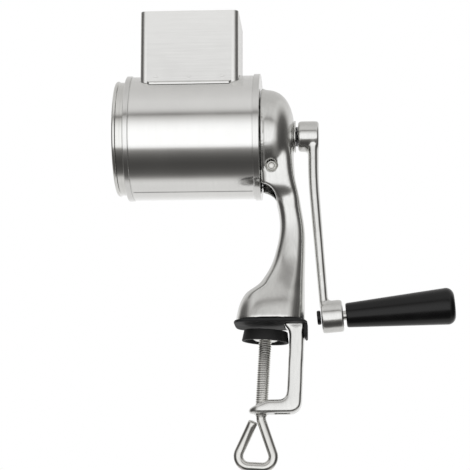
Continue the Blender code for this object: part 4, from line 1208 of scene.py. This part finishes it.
def boss(low, high, radius):
    """A boss along X with its edges rounded."""
    return spun(eased([(low, 0), (low, radius), (high, radius), (high, 0)], BOSS_EDGE), 96)


class GRATER_OT_crank(bpy.types.Operator):
    """Cast the crank: two bosses and the arm that bends out between them"""

    bl_idname = "grater.crank"
    bl_label = "Crank"

    def execute(self, context):
        s = context.scene.grater.crank
        pivot = Vector(JOINT["grip_spin"]["pos_m"])
        throw = AXIS_Z - pivot.z
        slope = (pivot.x - FOOT_INSET - CRANK_ARM_X) / (1 - CRANK_BEND)
        levels = []
        for i in range(CRANK_STEPS + 1):
            t = i / CRANK_STEPS
            centre = CRANK_ARM_X
            if t > 2 * CRANK_BEND:
                centre += slope * (t - 1.5 * CRANK_BEND)
            elif t > CRANK_BEND:
                centre += slope * (t - CRANK_BEND) ** 2 / (2 * CRANK_BEND)
            half = (s.top_thickness * (1 - t) + s.foot_thickness * t) / 2
            width = (s.top_width * (1 - t) + s.foot_width * t) / 2
            section = superellipse(centre - half, centre + half, width, CRANK_SQUARENESS, 56)
            levels.append((AXIS_Z - (throw - ARM_SHORT) * t, section))
        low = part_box("crank_arm")[0].x
        high = low + TOP_BOSS_LENGTH
        top = at_axis(boss(low, high, s.boss))
        foot = placed(boss(-BOSS_LENGTH / 2, BOSS_LENGTH / 2, s.foot_boss), handle_frame())
        rough = skinned(together(lofted(levels), top, foot), ROUGH_CRANK_SKIN)
        rough = smoothed(rough, 5, near_bosses(pivot.z, throw))
        drum = context.scene.grater.drum
        tip_way = rod((low - MM, 0, AXIS_Z), (high - TOP_BOSS_END, 0, AXIS_Z), drum.tip + GAP, 48)
        reach_out = BOSS_LENGTH / 2 + MM
        spindle_way = rod((-reach_out, 0, 0), (reach_out, 0, 0), s.spindle + GAP, 48)
        spindle_way = placed(spindle_way, handle_frame())
        solid = carved(carved(rough, [tip_way]), [spindle_way])
        skin = smoothed(skinned(solid, s.skin), s.soften)
        piece("crank_casting", "crank_arm", skin, finish("die_casting"), sharp=80)
        return {"FINISHED"}


def near_bosses(foot_z, throw):
    """Picks the points where the arm runs into its two bosses."""
    return lambda co: foot_z + 0.05 * throw < co.z < foot_z + 0.16 * throw or co.z > foot_z + 0.86 * throw


class GRATER_OT_handle(bpy.types.Operator):
    """Turn the spindle, press its cap on and mould the tapered grip"""

    bl_idname = "grater.handle"
    bl_label = "Handle"

    def execute(self, context):
        s = context.scene.grater.crank
        start, clear = -BOSS_LENGTH / 2, 1.8 * MM
        long, grip_long = 72 * MM, 67.2 * MM
        tip = start + long
        spindle = eased([(start, 0), (start, s.spindle), (tip, s.spindle), (tip, 0)], 0.6 * MM)
        spindle = spun(spindle, 64)
        piece("spindle", "handle_spindle", placed(spindle, handle_frame()), finish("zinc_plate"))
        rear = start - GAP
        cap_r, cap_t = 4.4 * MM, 2.4 * MM
        cap = eased([(rear - cap_t, 0), (rear - cap_t, cap_r), (rear, cap_r), (rear, 0)], 0.9 * MM, 8)
        piece("end_cap", "spindle_cap", placed(spun(cap, 56), handle_frame()), finish("gloss_plastic"))
        neck_r, end_r = 7.6 * MM, 11.4 * MM
        begin = -start + clear
        end = begin + grip_long
        bore = s.spindle + GAP
        deep = tip + 2 * GAP
        neck_round, end_round = 1.2 * MM, 5 * MM
        neck = arc((begin + neck_round, neck_r - neck_round), neck_round, 180, 95, 8)
        crown = arc((end - end_round, end_r - end_round), end_round, 88, 12, 16)
        tail = [(end - 0.12 * MM, 0.5 * end_r), (end, 0.25 * end_r), (end, 0)]
        profile = [(deep, 0), (deep, bore), (begin + 0.4 * MM, bore), (begin, bore + 0.4 * MM)]
        grip = spun([*profile, *neck, *crown, *tail], 112)
        piece("hand_grip", "grip", placed(grip, handle_frame()), finish("gloss_plastic"))
        return {"FINISHED"}


# Clamp --------------------------------------------------------------------------------------------

CUP_HEIGHT = 6.8 * MM
CUP_ROOF = 3 * MM
DISC_T = 1.5 * MM
RIVET_R = 4.3 * MM
RIVET_T = 1.1 * MM
LOOP_TOP = -7.5 * MM
# (x, z) in millimetres of the rod's corners, measured from where the screw crosses the tongue.
LOOP_STOPS = ((0, 2), (0, -7.5), (12, -36.8), (-15.8, -36.8), (-4.4, -9.6))
LOOP_END_Y = -4.4 * MM


def cup_frame():
    """The place of shapes made along Z from the middle of the cup's top."""
    return leaning(JOINT["screw_turn"]["pos_m"], JOINT["screw_turn"]["axis"])


class GRATER_OT_foot(bpy.types.Operator):
    """Mould the rubber cup and press the bright disc that the screw's end is riveted over"""

    bl_idname = "grater.foot"
    bl_label = "Pressure foot"

    def execute(self, context):
        s = context.scene.grater.clamp
        top_r, rim_r, wall = 13.5 * MM, 14.6 * MM, 2 * MM
        recess = GAP + RIVET_T + GAP - CUP_ROOF
        outline = [(0, 0), (0, top_r), (-CUP_HEIGHT, rim_r), (-CUP_HEIGHT, rim_r - wall)]
        outline += [(-CUP_ROOF, top_r - wall), (-CUP_ROOF, RIVET_R + GAP)]
        outline += [(recess, RIVET_R + GAP), (recess, 0)]
        cup = spun(eased(outline, 0.5 * MM), 112, "Z")
        piece("foot_cup", "pressure_cup", placed(cup, cup_frame()), finish("rubber"))
        high = -CUP_ROOF - GAP
        low = high - DISC_T
        outer, bore = top_r - wall - GAP, s.neck + GAP
        dish = low - 0.9 * DISC_T
        outline = [(dish, bore), (dish, outer - 5 * MM), (low, outer - 2 * MM), (low, outer)]
        outline += [(high, outer), (high, bore)]
        disc = spun(eased([*outline, outline[0]], 0.3 * MM, 4)[:-1], 96, "Z", closed=True)
        piece("foot_disc", "pressure_disc", placed(disc, cup_frame()), finish("polished_steel"))
        return {"FINISHED"}


class GRATER_OT_screw(bpy.types.Operator):
    """Cut the clamp screw's thread, rivet its end and bend the loop that turns it"""

    bl_idname = "grater.screw"
    bl_label = "Clamp screw"

    def execute(self, context):
        s = context.scene.grater.clamp
        casting = context.scene.grater.casting
        origin = clamp_origin(casting)
        drop = (Vector(JOINT["screw_turn"]["pos_m"]) - origin).length
        disc_low = drop - CUP_ROOF - GAP - DISC_T
        foot = LOOP_TOP + 2 * MM
        root = s.screw - s.thread
        stem = thread(foot, disc_low - GAP, s.screw, s.thread, s.pitch, 32)
        rivet = disc_low + DISC_T + GAP
        neck_low = disc_low - GAP - MM
        outline = [(neck_low, 0), (neck_low, s.neck), (rivet, s.neck), (rivet, RIVET_R)]
        outline += [(rivet + RIVET_T, RIVET_R), (rivet + RIVET_T, 0)]
        head = spun(eased(outline, 0.5 * MM), 48, "Z")
        outline = [(foot - MM, 0), (foot - MM, s.rod), (foot + MM, root), (foot + MM, 0)]
        collar = spun(eased(outline, 0.3 * MM), 48, "Z")
        loop = bent_rod(loop_route(s.bend), s.rod)
        whole = placed(together(stem, head, collar, loop), leaning(origin, JOINT["screw_turn"]["axis"]))
        piece("screw_and_loop", "clamp_screw", whole, finish("bright_steel"), sharp=50)
        return {"FINISHED"}


def loop_route(bend):
    """(x, z) points of the rod's middle, with round bends: down, right, round the bottom and back up."""
    stops = [Vector(stop) * MM for stop in LOOP_STOPS]
    route = [stops[0]]
    for before, corner, after in zip(stops, stops[1:], stops[2:]):
        into, out = (corner - before).normalized(), (after - corner).normalized()
        turn = into.angle(out)
        side = 1 if into.x * out.y - into.y * out.x > 0 else -1
        start = corner - into * bend * tan(turn / 2)
        centre = start + Vector((-into.y, into.x)) * side * bend
        steps = ceil(turn / radians(6))
        for i in range(steps + 1):
            spoke = start - centre
            spoke.rotate(Matrix.Rotation(side * turn * i / steps, 2))
            route.append(centre + spoke)
    return [*route, stops[-1]]


def bent_rod(route, radius):
    """A round rod along the route, whose last stretch drifts beside its start and ends in a round cut."""
    last = route[-1]
    straight = route[-2]
    steps, drift = 6, 1.5
    tail = [straight.lerp(last, i / steps) for i in range(1, steps + 1)]
    points = [(p.x, 0, p.y) for p in route[:-1]]
    points += [(p.x, LOOP_END_Y * (i / steps) ** drift, p.y) for i, p in enumerate(tail, 1)]
    curve = bpy.data.curves.new("scratch", "CURVE")
    curve.dimensions = "3D"
    curve.bevel_depth = radius
    curve.bevel_resolution = 6
    curve.use_fill_caps = True
    spline = curve.splines.new("POLY")
    spline.points.add(len(points) - 1)
    for point, place in zip(spline.points, points):
        point.co = (*place, 1)
    made = bpy.data.objects.new("scratch", curve)
    bpy.context.scene.collection.objects.link(made)
    bpy.context.view_layer.update()
    mesh = bpy.data.meshes.new_from_object(made.evaluated_get(bpy.context.evaluated_depsgraph_get()))
    bm = bmesh.new()
    bm.from_mesh(mesh)
    bpy.data.meshes.remove(mesh)
    bpy.data.objects.remove(made)
    bpy.data.curves.remove(curve)
    bmesh.ops.remove_doubles(bm, verts=bm.verts, dist=1e-6)
    sharp = radians(60)
    rims = [edge for edge in bm.edges if len(edge.link_faces) == 2 and edge.calc_face_angle() > sharp]
    bmesh.ops.bevel(bm, geom=rims, offset=radius / 4, segments=3, profile=0.5, affect="EDGES", material=-1)
    return bm


# Stage --------------------------------------------------------------------------------------------

# (direction in degrees, brightness) round the X axis: the level in front is 0, straight up is 90.
SKY = (
    (-180, 0.95), (-150, 0.75), (-120, 0.70), (-104, 0.72), (-97, 0.60), (-91, 0.30),
    (-86, 0.15), (-80, 0.10), (-70, 0.07), (-60, 0.065), (-50, 0.085), (-42, 0.14),
    (-36, 0.22), (-32, 0.40), (-29, 0.98), (-24, 1.14), (0, 1.12), (10, 1.02),
    (18, 0.84), (24, 0.64), (29, 0.45), (31.5, 0.20), (34, 0.30), (39, 0.58),
    (46, 0.68), (58, 0.69), (70, 0.64), (90, 0.58), (120, 0.60), (150, 0.68),
    (180, 0.95),
)
# (sideways share of the direction, brightness): from the left (-1) to the right (1).
SIDES = (
    (-1.0, 0.08), (-0.86, 0.16), (-0.7, 0.6), (-0.52, 1.0), (0.0, 1.0), (0.52, 1.0),
    (0.7, 0.55), (0.86, 0.15), (1.0, 0.08),
)
WARM_DARK = (1.0, 0.97, 0.93)
WHITE = (1, 1, 1)
FLOOR_HALF = 4.0
FLOOR_DARK = (0.78, 0.78, 0.78)
FLOOR_LIGHT = (0.84, 0.84, 0.84)
SOFTBOX_AT = (-0.55, -0.75, 0.85)
SOFTBOX_SIZE = (0.5, 0.35)


def ramp(tree, value, stops, low, high):
    """Brightness read off the stops, which lie between low and high."""
    made = add(tree, "ShaderNodeFloatCurve", {"Value": spread(tree, value, 0, 1, low, high)})
    curve = made.mapping.curves[0]
    points = [((at - low) / (high - low), bright) for at, bright in stops]
    curve.points[0].location = points[0]
    curve.points[1].location = points[-1]
    for at, bright in points[1:-1]:
        curve.points.new(at, bright)
    for point in curve.points:
        point.handle_type = "VECTOR"
    made.mapping.update()
    return made.outputs["Value"]


def studio_world():
    """A white studio round the grater: a bright wall in front, a grey ceiling and a dark floor ahead."""
    world = bpy.data.worlds.new("studio")
    world.use_nodes = True
    tree = world.node_tree
    background = tree.nodes["Background"]
    direction = add(tree, "ShaderNodeTexCoord").outputs["Generated"]
    parts = add(tree, "ShaderNodeSeparateXYZ", {"Vector": direction})
    x, y, z = (parts.outputs[k] for k in "XYZ")
    forward = add(tree, "ShaderNodeMath", {0: y, 1: -1.0}, operation="MULTIPLY").outputs[0]
    round_x = add(tree, "ShaderNodeMath", {0: z, 1: forward}, operation="ARCTAN2").outputs[0]
    sky = ramp(tree, round_x, [(radians(at), bright) for at, bright in SKY], -pi, pi)
    side = ramp(tree, x, SIDES, -1.0, 1.0)
    ground = spread(tree, z, 0.45, 1.0, -0.6, 0.1)
    side = add(tree, "ShaderNodeMath", {0: side, 1: ground}, operation="MULTIPLY").outputs[0]
    sideways = add(tree, "ShaderNodeMath", {0: x}, operation="ABSOLUTE").outputs[0]
    weight = spread(tree, sideways, 0, 1, 0.45, 0.85)
    both = add(tree, "ShaderNodeMix", {0: weight, 2: sky, 3: side}, data_type="FLOAT").outputs[0]
    tone = tinted(tree, both, WARM_DARK, WHITE)
    lit = add(tree, "ShaderNodeVectorMath", {0: tone, "Scale": both}, operation="SCALE").outputs[0]
    seen = add(tree, "ShaderNodeLightPath").outputs["Is Camera Ray"]
    tree.links.new(tinted(tree, seen, lit, WHITE), background.inputs["Color"])
    bpy.context.scene.world = world


def floor_material():
    """Pale matt paint with a faint roller texture."""
    look = bpy.data.materials.new("pale floor")
    look.use_nodes = True
    tree = look.node_tree
    shader = tree.nodes["Principled BSDF"]
    paint = tinted(tree, grain(tree, (6, 6, 6), 3.0), FLOOR_DARK, FLOOR_LIGHT)
    tree.links.new(paint, shader.inputs["Base Color"])
    tree.links.new(raised(tree, grain(tree, (300, 300, 300)), 0.1 * MM), shader.inputs["Normal"])
    shader.inputs["Roughness"].default_value = 0.8
    return look


class GRATER_OT_stage(bpy.types.Operator):
    """Set up the floor, the studio light and the camera"""

    bl_idname = "grater.stage"
    bl_label = "Stage"

    def execute(self, context):
        s = context.scene.grater.stage
        scene = context.scene
        scene.view_settings.view_transform = "Standard"
        studio_world()
        bm = bmesh.new()
        bmesh.ops.create_grid(bm, x_segments=1, y_segments=1, size=FLOOR_HALF)
        bmesh.ops.translate(bm, verts=bm.verts, vec=(0, 0, -s.floor_drop))
        mesh = bpy.data.meshes.new("floor")
        bm.to_mesh(mesh)
        bm.free()
        mesh.materials.append(floor_material())
        floor = bpy.data.objects.new("floor", mesh)
        floor.visible_glossy = False
        scene.collection.objects.link(floor)
        aim = Vector((-s.aim_x, 0, s.aim_z))
        softbox(Vector(SOFTBOX_AT), aim, *SOFTBOX_SIZE, s.key)
        level = cos(s.elevation)
        away = Vector((sin(s.azimuth) * level, -cos(s.azimuth) * level, sin(s.elevation)))
        camera_data = bpy.data.cameras.new("camera")
        camera_data.lens = s.lens
        camera = bpy.data.objects.new("camera", camera_data)
        camera.location = aim + away * s.distance
        camera.rotation_euler = (-away).to_track_quat("-Z", "Y").to_euler()
        scene.collection.objects.link(camera)
        scene.camera = camera
        return {"FINISHED"}


def softbox(place, aim, wide, high, power):
    """A soft light that faces the aim and is not itself mirrored in the metal."""
    light = bpy.data.lights.new("softbox", "AREA")
    light.shape = "RECTANGLE"
    light.size = wide
    light.size_y = high
    light.energy = power
    made = bpy.data.objects.new("softbox", light)
    made.location = place
    made.rotation_euler = (aim - place).to_track_quat("-Z", "Y").to_euler()
    made.visible_glossy = False
    bpy.context.scene.collection.objects.link(made)


# Add-on -------------------------------------------------------------------------------------------

OPERATORS = (
    GRATER_OT_stage,
    GRATER_OT_barrel,
    GRATER_OT_back,
    GRATER_OT_hopper,
    GRATER_OT_casting,
    GRATER_OT_fasteners,
    GRATER_OT_bush,
    GRATER_OT_pad,
    GRATER_OT_washers,
    GRATER_OT_drum,
    GRATER_OT_shaft,
    GRATER_OT_crank,
    GRATER_OT_handle,
    GRATER_OT_foot,
    GRATER_OT_screw,
)
GROUPS = (
    HousingSizes,
    CastingSizes,
    DrumSizes,
    CrankSizes,
    ClampSizes,
    Finishes,
    StageSettings,
    GraterSettings,
)


class GRATER_PT_pieces(bpy.types.Panel):
    """Builds each group of pieces and shows the sizes and colours that they use"""

    bl_label = "Grater"
    bl_idname = "GRATER_PT_pieces"
    bl_space_type = "VIEW_3D"
    bl_region_type = "UI"
    bl_category = "Grater"

    def draw(self, context):
        for operator in OPERATORS:
            self.layout.operator(operator.bl_idname)
        for group in GraterSettings.__annotations__:
            box = self.layout.box()
            box.label(text=group.capitalize())
            settings = getattr(context.scene.grater, group)
            for name in settings.__annotations__:
                box.prop(settings, name)


def register():
    for cls in (*GROUPS, *OPERATORS, GRATER_PT_pieces):
        bpy.utils.register_class(cls)
    bpy.types.Scene.grater = PointerProperty(type=GraterSettings)


def unregister():
    del bpy.types.Scene.grater
    for cls in reversed((*GROUPS, *OPERATORS, GRATER_PT_pieces)):
        bpy.utils.unregister_class(cls)


def main():
    register()
    for operator in OPERATORS:
        group, name = operator.bl_idname.split(".")
        getattr(getattr(bpy.ops, group), name)()


if __name__ == "__main__":
    main()
